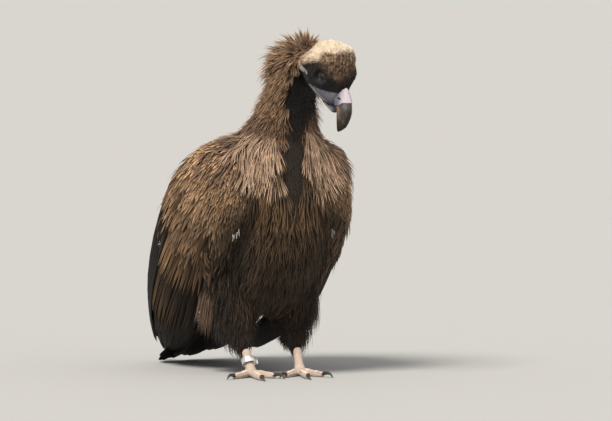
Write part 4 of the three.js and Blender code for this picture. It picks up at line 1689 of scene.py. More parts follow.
        return [
            Tract("vent_feathers", strand(46, 3.0, Tint.BELLY, Tint.FLAP), self.vent, 9.0, 11, dark,
                  "loose", 5, 0.3, 8, sink=2, clump=0.2),
            Tract("belly_feathers", strand(60, 3.0, Tint.BELLY, Tint.BELLY_TIP, 7, vary=0.3, tip_from=0.4),
                  self.belly, 9.0, 14, dark, "loose", 6, 0.17, 7, sink=2, stray=0.13, clump=0.22, droop=4,
                  tint=self.belly_tint),
            Tract("trouser_feathers", strand(30, 1.9, Tint.TROUSER, Tint.TROUSER_TIP, vary=0.35),
                  self.trouser, 5.6, 12, dark, "loose", 5, 0.3, 5, stray=0.18, clump=0.3, droop=3,
                  straight=0.35, grade=self.outer, tint=self.thigh_tint),
            Tract("wing_coverts", lance(60, 7.5, 8, ragged=0.2, rim=0.3, tip_from=0.6), self.middle, 10.5,
                  12, brown, "contour", 3, 0.09, 8, stray=0.08, clump=0.12, tint=self.wing_tint),
            Tract("inner_coverts", lance(78, 9.5, 8, root=Tint.COVERT, tip=Tint.COVERT_TIP, ragged=0.2,
                  rim=0.3, tip_from=0.6), self.inner, 14.0, 11, brown, "contour", 3, 0.09, 8, stray=0.06,
                  clump=0.1),
            Tract("small_coverts", lance(36, 4.6, 7, ragged=0.2, rim=0.25), self.lesser, 7.5, 11, brown,
                  "contour", 3, 0.14, 5, stray=0.14, clump=0.2, tint=self.wing_tint, grade=self.lesser_size),
            Tract("mantle_feathers", lance(56, 5.0, 7, root=Tint.MANTLE, tip=Tint.MANTLE_TIP, ragged=0.2),
                  self.mantle, 10.0, 12, dark, "contour", 4, 0.16, 8, sink=2, clump=0.15),
            Tract("scapular_feathers", lance(48, 4.4, 7, root=Tint.MANTLE, tip=Tint.MANTLE_TIP, ragged=0.25,
                  rim=0.3), self.scapulars, 9.5, 14, brown, "contour", 4, 0.2, 7, clump=0.25, straight=0.2,
                  droop=4),
            Tract("breast_tufts", strand(56, 2.6, Tint.FLUFF, Tint.FLUFF_TIP, 8, vary=0.3), self.breast,
                  10.0, 17, dark, "loose", 9, 0.30, 8, stray=0.22, clump=0.3, droop=7, straight=0.25),
            Tract("neck_feathers", strand(32, 2.4, Tint.NECK, Tint.NECK_TIP, vary=0.3), self.neck, 7.5, 10,
                  ruffed, "loose", 6, 0.3, 6, stray=0.25, clump=0.3, straight=0.3, droop=3),
            Tract("crop_down", strand(17, 1.7, Tint.CROP, Tint.CROP_TIP, 5), self.crop, 4.5, 4, dark,
                  "loose", 3, 0.25, 3, clump=0.2),
            Tract("throat_down", strand(12, 1.3, Tint.BLACK, Tint.CROP, 5), self.throat, 3.6, 5, ruffed,
                  "down", 3, 0.4, 3, clump=0.3),
            Tract("ruff_feathers", strand(25, 2.3, Tint.RUFF, Tint.RUFF_TIP, 7, vary=0.35, tip_from=0.35),
                  self.ruff, 6.6, 17, ruffed, "loose", 7, 0.32, 6, stray=0.25, clump=0.3, straight=0.8,
                  droop=3, early=1.7, grade=self.ruff_size),
            Tract("nape_spikes", strand(25, 3.0, Tint.RUFF, Tint.RUFF_TIP, 7, vary=0.35, tip_from=0.3),
                  self.nape, 5.6, 21, ruffed, "loose", 6, 0.22, 5, stray=0.22, clump=0.35, straight=1,
                  early=1.15),
            Tract("wing_flecks", strand(15, 1.6, Tint.WHITE, Tint.WHITE), self.flecks, 6.5, 11, brown,
                  "loose", 4, 0.2, 3, straight=0.5),
            Tract("crown_down", strand(8.5, 0.95, Tint.CREAM, Tint.CREAM, 4, vary=0.35, shade=0.2),
                  self.crown, 2.5, 4.5, "down", "down", 4, 0.7, 2, stray=0.6, clump=0.5, tint=self.face_tint,
                  sink=0.8),
            Tract("brow_down", strand(5.5, 0.9, Tint.BROW, Tint.BROW, 4, vary=0.3, shade=0.35),
                  self.forehead, 2.1, 2.2, "down", "down", 3, 0.45, 1.6, stray=0.35, clump=0.3,
                  tint=self.face_tint, sink=0.5),
            Tract("face_down", strand(5.0, 0.8, Tint.BLACK, Tint.BLACK, 4, vary=0.3), self.face, 1.9, 1.3,
                  "down", "down", 2, 0.3, 1.2, stray=0.3, clump=0.3, tint=self.face_tint, sink=0.5),
            Tract("whorl_down", strand(13, 1.8, Tint.RUFF, Tint.RUFF_TIP, 6, vary=0.3, tip_from=0.35),
                  self.whorl, 2.6, 9, ruffed, "loose", 5, 1.1, 4, stray=0.6, clump=0.3, straight=0.8),
        ]

    def face_tint(self, p: Places) -> tuple[Array, Array]:
        """Returns root and tip colours of the head's down, from the markings that the skin has too."""
        colour = self.marks.face(p)
        return colour * 0.8, np.minimum(colour * 1.25, 0.85)


@dataclass(frozen=True)
class Rank:
    """A row of long feathers on a folded wing.

    Args:
        name: the row's name.
        count: how many feathers.
        across: where they start and end across the wing, from -1 at its lower edge to 1 on the back.
        root: where they root along the wing, from 0 at the shoulder to 1 at the tip.
        tip: where they end along it, given each feather's share of the row.
        out: how far they lie outside the wing's surface at root and tip, in millimetres.
        vane: their make.
        slot: the record's slot, which is not used.
    """

    name: str
    count: int
    across: tuple[float, float]
    root: Curve
    tip: Curve
    out: tuple[float, float]
    vane: Vane
    slot: str
    strands: int = 1  # that each feather is frayed into


@dataclass
class Wing:
    """One folded wing's long feathers, over the surface that its solids follow."""

    side: str
    stance: Stance
    hide: Hide
    plumage: Plumage

    # lower edge y, z; upper edge y, z; x at lower edge, middle and upper edge, in millimetres
    ROWS = np.array([
        [-72, 356, -52, 432, 44, 62, 44], [-72, 322, -18, 470, 92, 126, 62], [-31, 278, 70, 488, 122, 156,
        30],
        [30, 228, 176, 464, 128, 172, 8], [88, 172, 248, 404, 122, 175, 6], [160, 114, 304, 322, 113, 175, 7],
        [236, 66, 348, 234, 102, 166, 9], [306, 36, 384, 150, 94, 146, 18], [378, 18, 430, 86, 88, 118, 42],
        [440, 8, 474, 50, 74, 90, 58],
    ], float)
    ROOF, CHEST = 3.8, 3.0  # how square the wing's section is above and below

    def point(self, s: Array, v: Array) -> Array:
        """Works out places on the wing's outer surface.

        Args:
            s: the shares along the wing, from 0 at the shoulder to 1 at the tip.
            v: the shares across it, from -1 at its lower edge to 1 on the back.

        Returns:
            Places in the bird's frame, in millimetres.
        """
        last = len(self.ROWS) - 1
        where = np.clip(s, 0, 1.0) * last
        low = np.minimum(where.astype(int), last - 1)
        t = (where - low)[..., None]
        p0, p1, p2, p3 = (self.ROWS[np.clip(low + k, 0, last)] for k in (-1, 0, 1, 2))
        row = p1 + 0.5 * t * (p2 - p0 + t * (2 * p0 - 5 * p1 + 4 * p2 - p3 + t * (3 * (p1 - p2) + p3 - p0)))
        ly, lz, hy, hz, x_low, x_middle, x_high = np.moveaxis(row, -1, 0)
        above, below = np.clip(v, 0, 1) ** self.ROOF, np.clip(-v, 0, 1) ** self.CHEST
        x = x_middle + (x_high - x_middle) * above + (x_low - x_middle) * below
        share = (v + 1) / 2
        return np.stack([x * SIGN[self.side], ly + (hy - ly) * share, lz + (hz - lz) * share], axis=-1)

    def facing(self, s: Array, v: Array) -> Array:
        """Returns the way the surface faces, outwards."""
        ahead = self.point(s + 0.01, v) - self.point(s - 0.01, v)
        aside = self.point(s, v + 0.02) - self.point(s, v - 0.02)
        return unit(np.cross(ahead, aside)) * SIGN[self.side]

    def lay(self, rank: Rank, seed: int) -> None:
        """Builds one row, the inner feathers over the outer ones.

        Args:
            rank: the row.
            seed: starts the chance.
        """
        rng = np.random.default_rng(seed)
        feather = np.repeat(np.arange(rank.count), rank.strands)
        place = np.tile(np.linspace(-1, 1, rank.strands) if rank.strands > 1 else np.zeros(1), rank.count)
        uneven = rng.normal(0, 0.12 / rank.count, rank.count)[feather]
        share = (feather / (rank.count - 1) + uneven).clip(0, 1)
        t = rank.vane.stops()
        low, high = rank.across
        splay = 0.35 * (high - low) / rank.count * place
        v_tip = low + (high - low) * share + splay
        v_root = (low + high) / 2 + (v_tip - (low + high) / 2) * 0.95 - 0.5 * splay
        s_root = rank.root(share)
        s_tip = rank.tip(share) + rng.normal(0, 0.008, rank.count)[feather]
        s_tip = s_tip - 0.02 * np.abs(place) * rng.random(len(place))
        s = s_root[:, None] + (s_tip - s_root)[:, None] * t
        v = v_root[:, None] + (v_tip - v_root)[:, None] * t
        v = v + 0.012 * np.sin(3 * t + 6 * rng.random((len(place), 1)))
        face = self.facing(s, v)
        out = rank.out[0] + (rank.out[1] - rank.out[0]) * t[None] ** 0.8
        out = out + rng.normal(0, 0.5, (rank.count, 1))[feather]
        at = self.stance.world(self.point(s, v) + face * out[..., None])
        aside = unit(self.point(s, v + 0.02) - self.point(s, v - 0.02))
        face = unit(face + 0.12 * aside + (0.25 * place)[:, None, None] * aside)
        glow = (1 + rank.vane.shade * rng.normal(0, 0.7, (rank.count, 1))).clip(0.4, 1.8)[feather]
        # painted shade: the feathers at each row's lower edge, against the flank, are darkened
        glow = glow * (1 - 0.6 * step(0.16, 0.04, share))[:, None]
        lines = Spines(at, face, self.hide.chart_near(at[:, 0]), glow * rank.vane.root, glow * rank.vane.tip)
        nodes = [f"wing_{rank.name}_{self.side}"] if rank.name in ("primaries", "secondaries") else []
        self.plumage.make(f"{rank.name}_{self.side}", rank.vane, lines, rank.slot, "flight", seed, *nodes)


    def build(self) -> None:
        """Lays the rows from the primaries outwards to the coverts."""

        def vane(
            width: float, outline: Outline, stations: int, root: Colour, tip: Colour, **rest: float
        ) -> Vane:
            """Returns the make of one row."""
            rest |= {"root": root, "tip": tip, "dense": 1.6}
            return Vane(0, width, outline, Section.BROAD, stations, 1.0, 0.12, **rest)

        def tips(*ends: float) -> Curve:
            """Returns where a row ends, from the wing's lower edge over flank and shoulder to the back."""
            return lambda k: np.interp(k, (0, 0.36, 0.54, 1), ends)

        def roots(low: float, high: float) -> Curve:
            """Returns where a row starts, from the wing's lower edge to the back."""
            return lambda k: low + (high - low) * k

        dark, brown = "flight_feathers", "brown_plumage"
        point, lance = Outline.POINT, Outline.LANCE
        short = 0.17 if self.side == LEFT else 0.0  # the left wing shows more of its dark feathers
        # the left wing's greater coverts take the darker tips of the long feathers: partly their darker
        # undersides, partly painted shade on the left wing
        tip = Tint.LONG_TIP if short else Tint.GREATER_TIP
        edge = vane(15, point, 14, Tint.FLIGHT, Tint.FLIGHT, ragged=0.06, twist=0.05, rim=0.0)
        fingers = vane(26, Outline.BLADE, 14, Tint.FLIGHT, Tint.FLIGHT_TIP, ragged=0.04, twist=0.05, rim=0.0)
        long = vane(17, point, 14, Tint.FLIGHT, Tint.LONG, ragged=0.12, twist=0.1, rim=0.4, shade=0.3)
        third = vane(9, lance, 14, Tint.LONG, Tint.LONG_TIP, ragged=0.2, twist=0.2, rim=0.3, shade=0.5)
        covert = vane(8.5, lance, 11, Tint.COVERT, tip, ragged=0.22, twist=0.25, rim=0.3, shade=0.35)
        ranks = [
            Rank("primaries", 12, (-0.97, 0.5), roots(0.42, 0.45), tips(0.90, 0.99, 1.0, 0.97), (-12, -7),
                 fingers, dark),
            Rank("outer_primaries", 10, (-0.1, 0.48), roots(0.42, 0.42), tips(0.88, 0.94, 0.97, 0.95), (-1,
                1),
                 edge, dark),
            Rank("secondaries", 22, (-0.95, 0.97), roots(0.36, 0.36), tips(0.74, 0.82, 0.84, 0.87), (-9, -4),
                 long, dark, 2),
            Rank("tertials", 17, (-0.94, 0.95), roots(0.34, 0.34), tips(0.70 - short, 0.71, 0.58, 0.74),
                (-7, -1),
                 third, brown, 3),
            Rank("greater_coverts", 20, (-0.93, 0.94), roots(0.29, 0.31), tips(0.52 - short, 0.56, 0.49,
                0.60),
                 (-8, 0), covert, brown, 3),
            Rank("median_coverts", 19, (-0.92, 0.9), roots(0.25, 0.27), tips(0.40, 0.44, 0.45, 0.48), (-8, 1),
                 covert, brown, 3),
        ]
        for number, rank in enumerate(ranks):
            self.lay(rank, 301 + 10 * number + (self.side == LEFT))


@dataclass
class Flap:
    """Soft pale feathers that hang from the flank, behind the thigh. Lengths are in millimetres."""

    wing: Wing
    count: int = 260
    root: Colour = (102.0, 94.0, 204.0)  # aside, back and up
    tip: Colour = (109.0, 124.0, 60.0)

    def build(self) -> None:
        """Builds the flap on the wing's own side."""
        rng = np.random.default_rng(601)
        vane = Vane(0, 4.2, Outline.HAIR, Section.RIDGE, 8, 0.5, 0.1, 0.12, 0.4)
        sign = np.array([SIGN[self.wing.side], 1.0, 1.0])
        root, tip = np.array(self.root), np.array(self.tip)
        place, depth, cut = (rng.uniform(-1, 1, self.count) for _ in range(3))
        aside, inwards = np.array([0.45, 0.9, 0.12]), np.array([-1, 0, 0])
        start = root + aside * (15 * place)[:, None] + inwards * (5 * depth)[:, None]
        end = tip + aside * (27 * place)[:, None] + inwards * (6 * depth)[:, None]
        end = end + (start - end) * (0.22 + 0.2 * cut + 0.16 * place**2)[:, None]
        end = end + rng.normal(0, 4.5, (self.count, 3))
        t = vane.stops()[None, :, None]
        out = np.array([0.8, -0.5, 0.0])
        belly = out * (9 * np.sin(2.2 * t) * (1 - place**2)[:, None, None])
        at = self.wing.stance.world((start[:, None] + (end - start)[:, None] * t + belly) * sign)
        face = np.repeat(unit(out + aside * (0.3 * place)[:, None])[:, None], vane.stations, axis=1) * sign
        tint = Tint.FLAP * (1 + 0.25 * rng.normal(0, 1, (self.count, 1))).clip(0.5, 1.6)
        lines = Spines(at, face, self.wing.hide.chart_near(at[:, 0]), 0.7 * tint, tint)
        self.wing.plumage.make(f"flank_{self.wing.side}", vane, lines, "dark_plumage", "loose", 602)


@dataclass
class Tail:
    """Twelve stiff feathers in a shallow fan, the outer ones lowest."""

    stance: Stance
    wing: Wing
    count: int = 12
    root: Colour = (-4.0, 218.0, 150.0)
    tip: Colour = (-41.0, 430.0, 13.5)
    length: float = 268.0
    spread: float = 20.0  # degrees from first to last
    roll: float = 14.0
    root_width: float = 46.0
    arch: float = 5.0

    def build(self) -> None:
        """Builds the fan, and the coverts over its root."""
        dark, deep = {"root": Tint.FLIGHT, "tip": Tint.FLIGHT_TIP}, {"root": Tint.LONG, "tip": Tint.LONG_TIP}
        blade = Vane(0, 42, Outline.ROUND, Section.BROAD, 20, 1.3, 0.08, 0.03, 0.03, **dark, rim=0.0,
        shade=0.3,
                     dense=2.4)
        cover = Vane(0, 19, Outline.LANCE, Section.BROAD, 9, 0.9, 0.12, 0.12, 0.08, **deep)
        self.fan("tail_feathers", self.count, self.length, 0.0, blade, 411, "tail")
        self.fan("tail_coverts", 11, self.length * 0.5, 9.0, cover, 412)
        self.fan("undertail_coverts", 11, self.length * 0.62, -9.0, cover, 413)

    def fan(
        self, name: str, count: int, length: float, above: float, vane: Vane, seed: int, *nodes: str
    ) -> None:
        """Lays one fan.

        Args:
            name: the piece's name.
            count: how many feathers.
            length: of the middle ones.
            above: how far it lies above the tail's own plane.
            vane: their make.
            seed: starts the chance.
            *nodes: the nodes that it stands for, if any.
        """
        along = unit(np.array(self.tip) - np.array(self.root))
        roll = math.radians(self.roll)
        across = np.array([math.cos(roll), 0.0, math.sin(roll)])
        across = unit(across - along * (across @ along))
        up = np.cross(across, along)
        share = np.linspace(-0.5, 0.5, count)
        t = vane.stops()[None, :, None]
        turn = np.radians(self.spread) * share
        aim = along * np.cos(turn)[:, None] + across * np.sin(turn)[:, None]
        uneven = np.random.default_rng(seed).uniform(-0.045, 0.04, count)
        reach = length * (1 - 0.04 * (2 * share) ** 2 + uneven)
        start = np.array(self.root) + across * (self.root_width * share)[:, None]
        lift = self.arch * (1 - (2 * share) ** 2) + 1.1 * (1 - np.abs(2 * share)) + above
        at = start[:, None] + aim[:, None] * (reach[:, None, None] * t)
        at = self.stance.world(at + up * (lift[:, None, None] * (0.4 + 0.6 * t)))
        face = unit(up + 0.12 * across * np.sign(share + 1e-6)[:, None])
        face = np.repeat(face[:, None], vane.stations, axis=1)
        spines = Spines(at, face, self.wing.hide.chart_near(at[:, 0]))
        self.wing.plumage.make(name, vane, spines, "flight_feathers", "flight", seed, *nodes)


# ---------------------------------------------------------------- eyes, bill, feet and ring


@dataclass
class Eyes:
    """Both eyes in their folded lids. Lengths are in millimetres."""

    stance: Stance
    finishes: dict[str, Material]
    radius: float = 11.0
    cornea: float = 1.0  # how far the front bulges
    opening: tuple[float, float] = (7.4, 6.1)  # half the opening, along and up
    brim: float = 15.0  # where the lids meet the skin
    hood: float = 3.4  # how far the upper lid hangs over the opening
    clearance: float = 0.55  # of the lids over the ball
    bulk: float = 1.9  # of the upper lid
    gaze: Colour = (0.30, -0.10, 1.0)  # forward, up, out

    def build(self) -> None:
        """Builds eyes and lids."""
        for side in SIDES:
            axes, middle = self.axes(side), box_middle(f"eye_{side}")
            self.ball(side, axes, middle)
            self.lids(side, axes, middle)

    def axes(self, side: str) -> Array:
        """Returns along, up and out of one eye as rows."""
        sign = -SIGN[side]
        out = unit(np.array(self.gaze) * [1, 1, sign]) @ self.stance.head_axes()
        along = unit(self.stance.forward - out * (self.stance.forward @ out))
        return np.array([along, np.cross(out, along) * sign, out])

    def ball(self, side: str, axes: Array, middle: Array) -> None:
        """Builds one eye, its front bulging a little.

        Args:
            side: the bird's right or left.
            axes: along, up and out of the eye, as rows.
            middle: its middle, in metres.
        """
        deselect()
        bpy.ops.mesh.primitive_uv_sphere_add(segments=64, ring_count=40, radius=self.radius)
        ball = bpy.context.object
        x, y, z = vertices_of(ball).T
        away = np.hypot(x, y)
        bulge = self.cornea * step(7.6, 3.0, away) * (z > 0)
        reshape(ball, np.column_stack([x, y, z + bulge]) @ axes * MM + middle)
        turn_outwards(ball)
        mark(ball, "gaze", np.column_stack([np.where(z > 0, away, 20.0), x, y]))
        dress(ball, f"eyeball_{side}", self.finishes["eye"], "eye", f"eye_{side}")

    def lids(self, side: str, axes: Array, middle: Array) -> None:
        """Builds the lids of one eye as one folded ring: a rolled rim, a crease and a skirt.

        Args:
            side: the bird's right or left.
            axes: along, up and out of the eye, as rows.
            middle: its middle, in metres.
        """
        deselect()
        bpy.ops.mesh.primitive_torus_add(
            major_segments=64, minor_segments=14, major_radius=1, minor_radius=0.3
        )
        lid = bpy.context.object
        x, y, z = vertices_of(lid).T
        angle = np.arctan2(y, x)
        fold = np.arctan2(z, np.hypot(x, y) - 1)  # 0 outside, pi at the rim
        inward = (1 - np.cos(fold)) / 2  # 0 at the skirt, 1 at the rim
        top = step(-0.2, 0.9, np.sin(angle))
        rim = np.hypot(self.opening[0] * np.cos(angle), (self.opening[1] - self.hood * top) * np.sin(angle))
        away = self.brim + (rim - self.brim) * inward
        crease = 0.5 * bump(0.45, 0.13, inward) - 0.8 * bump(0.95, 0.2, inward)
        shell = self.radius + self.clearance + 0.5 * np.sign(np.sin(fold)) * np.abs(np.sin(fold)) ** 0.7
        shell = shell - crease + self.bulk * (1 - inward) * top
        height = np.sqrt(np.maximum(shell**2 - np.minimum(away, shell * 0.93) ** 2, 0.0))
        height -= 1.5 * np.maximum(away - shell * 0.93, 0)
        spots = np.column_stack([away * np.cos(angle), away * np.sin(angle), height])
        reshape(lid, spots @ axes * MM + middle)
        turn_outwards(lid)
        apply_modifier(lid, "SUBSURF", levels=1, render_levels=1)
        x, y, _ = ((vertices_of(lid) - middle) @ axes.T / MM).T
        spread = np.hypot(x, y)
        pale = step(11.0, 9.0, spread) * step(0.35, -0.1, y / np.maximum(spread, 1e-6))
        paint(lid, mixed(Tint.BLACK, Tint.LID, 0.8 * pale))
        mark(lid, "bare", np.zeros((len(x), 3)))
        dress(lid, f"eyelids_{side}", self.finishes["skin"], "down")


@dataclass
class Bill:
    """The bill: a swollen waxy cere, nostrils, and horn that ends in a hook. Lengths are in millimetres."""

    frame: dict
    stance: Stance
    finish: Material
    voxel: float = 0.0009
    edge: tuple[float, float] = (57.0, 0.63)  # where the cere ends forward at u = 4, and its slant
    swell: float = 1.1
    nostril: Colour = (39.0, -4.0, 15.0)
    nostril_half: tuple[float, float] = (3.6, 2.4)  # its half length and half height
    nostril_depth: float = 2.6
    pinch: float = 0.26  # how much narrower the ridge is than the edge

    def build(self) -> None:
        """Builds both halves."""
        for half in ("upper", "lower"):
            upper = half == "upper"
            bill = copy_of(self.frame, f"bill_{half}")
            Skin.remesh(bill, self.voxel, 6)
            f, u, r = self.stance.in_head(vertices_of(bill)).T
            front = self.edge[0] - self.edge[1] * (4 - u) + 1.5 * np.sin(0.35 * u)
            cere = step(0.8, -0.8, f - front) if upper else step(44, 36, f)
            rim = bump(-1.2, 1.3, f - front) * upper
            f_hole, u_hole, r_hole = self.nostril
            long, tall = self.nostril_half
            away = np.hypot((f - f_hole) / long, (u - u_hole - 0.35 * (f - f_hole)) / tall)
            beside = np.abs(r) > 0.4 * r_hole
            hole = step(1.15, 0.75, away) * beside
            lip = bump(1.35, 0.3, away) * beside
            push = self.swell * cere + 0.5 * rim * cere - self.nostril_depth * hole + 0.35 * lip
            spots = self.stance.in_head(vertices_of(bill) + normals_of(bill) * push[:, None] * MM)
            spots[:, 2] *= 1 - self.pinch * step(-20, 14, u)
            spots[:, 1] -= 2.0 * step(0, 16, u) * step(16, 26, f)
            reshape(bill, self.stance.head_world(spots))
            if upper:
                gape = bump(-25.5, 1.6, u) * step(46, 34, f)
            else:
                gape = bump(0, 2.0, u + 33.5 + 0.23 * (f - 14.5)) * step(44, 38, f)
            mark(bill, "beak", np.column_stack([cere, hole, 0 * hole]))
            mark(bill, "place", spots)
            painted = mixed(self.horn(spots, cere < 0.5), self.wax(spots), cere)
            paint(bill, mixed(painted, Tint.LIP, gape * cere))
            dress(bill, f"horn_{half}", self.finish, "horn", f"bill_{half}")


    @staticmethod
    def horn(spots: Array, horny: Array) -> Array:
        """The horn's colour: clouded tan near the cere with a painted grey highlight beside it, a painted
        blue-grey reflection halfway down, reddish along its edge, black at the tip.

        Args:
            spots: places in the head's frame, in millimetres.
            horny: True where the horn is.

        Returns:
            A colour for each place.
        """
        f, u, _ = spots.T
        down, over = 0.74 * f - 0.68 * u, f + u
        low = down[horny].min()
        t = (down - low) / (down.max() - low)
        shelf = (t * 12).clip(0, 11.99).astype(int)
        shelves = [over[horny & (shelf == k)] for k in range(12)]
        ends = np.array([[values.min(), values.max()] for values in shelves])
        first, last = (np.interp(t * 12 - 0.5, np.arange(12), column) for column in ends.T)
        w = (over - first) / (last - first) + 0.06 * ripple(spots, 9.0, 3.0)
        t = t + 0.035 * ripple(spots, 8.0, 2.0)
        colour = mixed((0.045, 0.035, 0.031), (0.022, 0.0125, 0.007), step(0.42, 0.64, t))
        for middle, reach, aside, half, tint in (
            (0.25, 0.20, 0.27, 0.20, (0.30, 0.19, 0.135)),
            # painted reflection: a blue-grey spot halfway down
            (0.52, 0.08, 0.28, 0.14, (0.090, 0.095, 0.105)),
            # painted highlight: a pale grey patch high up, near the cere
            (0.08, 0.17, 0.76, 0.16, (0.13, 0.135, 0.14)),
            (0.64, 0.11, 0.68, 0.12, (0.065, 0.058, 0.045)),
        ):
            cloud = np.exp(-(((t - middle) / reach) ** 2) - ((w - aside) / half) ** 2)
            colour = mixed(colour, tint, 0.95 * cloud)
        colour = mixed(colour, (0.105, 0.040, 0.018), step(0.13, 0.05, w) * step(0.28, 0.42, t))
        colour = mixed(colour, (0.020, 0.015, 0.010), step(0.84, 0.95, w) * step(0.2, 0.4, t))
        return mixed(colour, (0.009, 0.0055, 0.003), step(0.78, 0.93, t + 0.12 * w))

    @staticmethod
    def wax(spots: Array) -> Array:
        """Returns the cere's colour: pinkish white over the ridge, blue-grey towards the mouth."""
        f, u, _ = spots.T
        high = u + 1.1 * (f - 42) + 4 * ripple(spots, 9.0, 1.0)
        return mixed((0.105, 0.11, 0.145), (0.43, 0.375, 0.435), step(-11, 9, high))


@dataclass
class Feet:
    """Claws, the scutes on top of the toes, and the ring on the right leg. Lengths are in millimetres."""

    frame: dict
    hide: Hide
    plumage: Plumage
    finishes: dict[str, Material]
    claw_voxel: float = 0.0006  # in metres
    pitch: float = 5.2  # from scute to scute
    plated: tuple[float, float] = (0.82, 1.5)  # where scutes start and how far they run, in half toes
    plate_rise: tuple[float, ...] = (-0.6, 0.35, 0.5, -0.2)  # over the toe, from a scute's root to its tip
    ring_radius: float = 13.6
    ring_height: float = 11.0
    ring_lean: float = 33.0
    ring_wall: float = 1.1
    ring_tab: float = 4.4  # how far its folded ends stand out

    def build(self) -> None:
        """Builds them all."""
        for side in SIDES:
            for digit in DIGITS:
                self.claw(side, digit)
        self.scutes()
        self.ring()

    def claw(self, side: str, digit: str) -> None:
        """Builds one claw from its solid, rounded."""
        node = f"claw_{digit}_{side}"
        claw = copy_of(self.frame, node)
        apply_modifier(claw, "REMESH", mode="VOXEL", voxel_size=self.claw_voxel)
        apply_modifier(claw, "SMOOTH", factor=0.5, iterations=8)
        dress(claw, f"talon_{digit}_{side}", self.finishes["claw"], "claw", node)

    def scutes(self) -> None:
        """Lays short broad plates along the top of each toe."""
        at, normal, chart = [], [], []
        stations = len(self.plate_rise)
        front, back = self.plated
        for side in SIDES:
            for digit in DIGITS:
                tip, toe = box_middle(f"claw_{digit}_{side}"), box_middle(f"toe_{digit}_{side}")
                aim = unit((tip - toe) * [1, 1, 0])
                low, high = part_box(f"toe_{digit}_{side}")
                half = np.linalg.norm((np.array(high) - np.array(low))[:2]) / 2
                for k in range(int(back * half / (self.pitch * MM))):
                    start = toe + aim * (half * front - k * self.pitch * MM) + [0, 0, 0.02]
                    spot, _, face, _ = self.hide.tree.ray_cast(Vector(start), Vector(DOWN))
                    if spot is None or spot.z > 0.022:
                        continue
                    spots, faces = np.array([spot]), np.array([face])
                    up = self.hide.facing(spots, faces)[0]
                    line = np.linspace(-0.5, 0.62, stations)[:, None] * self.pitch * MM * aim + spots[0]
                    at.append(line + np.outer(np.array(self.plate_rise) * MM, up))
                    normal.append(np.repeat(up[None], stations, axis=0))
                    chart.append(self.hide.chart_at(spots, faces)[0])
        plate = Vane(0, 11.5, Outline.PLATE, Section.BROAD, stations, 0.9, 0.45, 0.04, 0.04, 0.1, Tint.SHANK,
                     Tint.SHANK, rim=0.0, shade=0.15)
        spines = Spines(np.array(at), np.array(normal), np.array(chart))
        self.plumage.make("toe_scutes", plate, spines, "scaled_skin", "scute", 500)

    def ring(self) -> None:
        """Builds the ring: a thin band bent round the leg, its two ends folded out and pressed together."""
        radius, height = self.ring_radius * MM, self.ring_height * MM
        deselect()
        bpy.ops.mesh.primitive_cylinder_add(vertices=72, radius=radius, depth=height, end_fill_type="NOTHING")
        band = bpy.context.object
        bpy.ops.object.mode_set(mode="EDIT")
        bpy.ops.mesh.select_all(action="DESELECT")
        bpy.ops.object.mode_set(mode="OBJECT")
        gap, reach = 0.7 * MM, 1.3 * MM  # of the opening, and of the edges beside it
        for face in band.data.polygons:
            face.select = abs(face.center.y) < gap and face.center.x > 0
        bpy.ops.object.mode_set(mode="EDIT")
        bpy.ops.mesh.select_mode(type="FACE")
        bpy.ops.mesh.delete(type="FACE")
        bpy.ops.mesh.select_mode(type="EDGE")
        bpy.ops.mesh.select_all(action="DESELECT")
        bpy.ops.object.mode_set(mode="OBJECT")
        spots = vertices_of(band)
        for edge in band.data.edges:
            a, b = (spots[i] for i in edge.vertices)
            upright = abs(a[2] - b[2]) > 0.5 * height
            edge.select = bool(upright and a[0] > 0 and abs(a[1]) < reach)
        bpy.ops.object.mode_set(mode="EDIT")
        bpy.ops.mesh.extrude_region_move(TRANSFORM_OT_translate={"value": (self.ring_tab * MM, 0, 0)})
        bpy.ops.object.mode_set(mode="OBJECT")
        apply_modifier(band, "SOLIDIFY", thickness=self.ring_wall * MM, offset=0.0)
        apply_modifier(band, "BEVEL", width=0.25 * MM, segments=2, limit_method="ANGLE")
        band.rotation_euler = (math.radians(-self.ring_lean), 0, 0)
        low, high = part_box("leg_ring")
        band.location = (low.x + radius, (low.y + high.y) / 2, (low.z + high.z) / 2)
        settle(band, "leg_band")
        dress(band, "leg_band", self.finishes["ring"], "ring_metal", "leg_ring")
        bpy.ops.object.shade_smooth_by_angle(angle=math.radians(35))


# ---------------------------------------------------------------- the studio


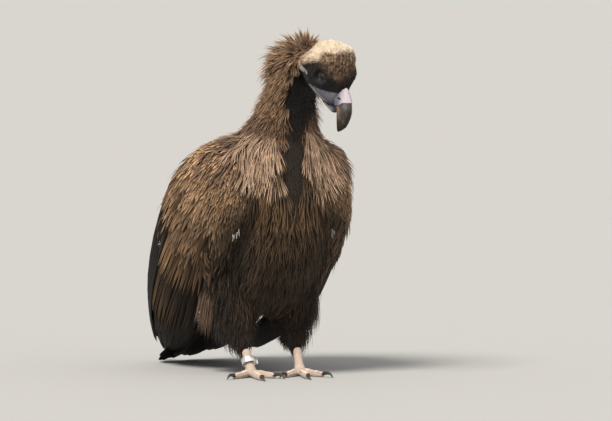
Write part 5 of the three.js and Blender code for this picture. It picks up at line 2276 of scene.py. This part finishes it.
@dataclass
class Studio:
    """A plain pale floor, soft light, and the camera."""

    stance: Stance
    finish: Material
    azimuth: float = -20.0
    elevation: float = 3.5
    distance: float = 14.0
    frame_width: float = 1.193
    aim_right: float = 52.65  # of the middle of the view, in millimetres
    aim_up: float = 324.7
    floor_size: float = 400.0

    def build(self) -> None:
        """Sets up floor, camera, world and lights."""
        deselect()
        bpy.ops.mesh.primitive_plane_add(size=self.floor_size)
        floor = settle(bpy.context.object, "floor")
        floor.data.materials.append(self.finish)
        self.camera()
        self.light()

    def camera(self) -> None:
        """Sets the long lens where it looks at the bird a little from above."""
        azimuth, elevation = math.radians(self.azimuth), math.radians(self.elevation)
        right = np.array([math.cos(azimuth), math.sin(azimuth), 0.0])
        back = np.array([math.sin(azimuth) * math.cos(elevation), -math.cos(azimuth) * math.cos(elevation),
                         math.sin(elevation)])
        up = np.cross(back, right)
        at = self.stance.world(right * self.aim_right + up * self.aim_up) + back * self.distance
        data = bpy.data.cameras.new("camera")
        data.sensor_width = 36.0
        data.lens = 36.0 * self.distance / self.frame_width
        data.clip_end = 1000.0
        camera = bpy.data.objects.new("camera", data)
        bpy.context.scene.collection.objects.link(camera)
        turn = Matrix((right, up, back)).transposed().to_4x4()
        camera.matrix_world = Matrix.Translation(Vector(at)) @ turn
        bpy.context.scene.camera = camera

    def light(self) -> None:
        """Lights the scene from a pale world and a broad high sun."""
        scene = bpy.context.scene
        scene.view_settings.view_transform = "Standard"
        scene.world = bpy.data.worlds.new("studio")
        scene.world.use_nodes = True
        sky = {"Color": (1.0, 0.97, 0.93, 1.0), "Strength": 0.62}
        Nodes(scene.world.node_tree).feed(scene.world.node_tree.nodes["Background"], sky)
        for name, power, angle, turn in (("key", 4.8, 0.35, (40, 0, -48)), ("fill", 0.5, 1.0, (62, 0, 40))):
            lamp = bpy.data.lights.new(name, "SUN")
            lamp.energy, lamp.angle, lamp.color = power, angle, (1.0, 0.94, 0.84)
            thing = bpy.data.objects.new(name, lamp)
            thing.rotation_euler = tuple(math.radians(value) for value in turn)
            scene.collection.objects.link(thing)


# ---------------------------------------------------------------- the bird


def finishes() -> dict[str, Material]:
    """Returns every material, made once."""
    effects = Effects()
    kinds = {
        "contour": PlumageFinish("contour_plumage", 0.7, 0.2, 0.05, barbs=0.7, patches=45.0),
        "loose": PlumageFinish("loose_plumage", 0.8, 0.15, 0.08, barbs=0.9, shaft_share=0.25, patches=55.0),
        "flight": PlumageFinish("flight_feathers", 0.62, 0.12, 0.0, barbs=0.8, shaft_share=0.5, patches=30.0),
        "down": PlumageFinish("down", 0.85, 0.1, 0.15, barbs=1.5, shaft_share=0.0, patches=260.0,
        strength=0.35),
        "scute": PlumageFinish("toe_scutes", 0.5, 0.5, 0.0, barbs=0.0, shaft_share=0.0, patches=300.0,
        strength=0.3),
        "skin": SkinFinish("skin", 0.65, 0.35, 0.1),
        "horn": HornFinish("bill_horn", 0.4, 0.32),
        "eye": EyeFinish("eye", 0.3, 0.2, coat=0.2),
        "claw": ClawFinish("claw_horn", 0.38, 0.5),
        "ring": MetalFinish("ring_metal", 0.4, 0.5, metallic=1.0),
        "floor": FloorFinish("floor", 0.9, 0.2),
    }
    return {key: finish.make(effects) for key, finish in kinds.items()}


def main() -> None:
    """Builds the bird on its frame, piece by piece."""
    logging.basicConfig(level=logging.INFO, format="%(message)s")
    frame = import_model()
    deselect()
    stance = Stance()
    made = finishes()
    hide = Hide(Skin(frame, stance).build(made["skin"]), stance)
    plumage = Plumage(made)
    Coat(hide, Flow(stance), plumage).build()
    wings = [Wing(side, stance, hide, plumage) for side in SIDES]
    for wing in wings:
        wing.build()
        Flap(wing).build()
    Tail(stance, wings[0]).build()
    Eyes(stance, made).build()
    Bill(frame, stance, made["horn"]).build()
    Feet(frame, hide, plumage, made).build()
    Studio(stance, made["floor"]).build()
    log.info("vanes in all: %d triangles", plumage.total)


if __name__ == "__main__":
    main()
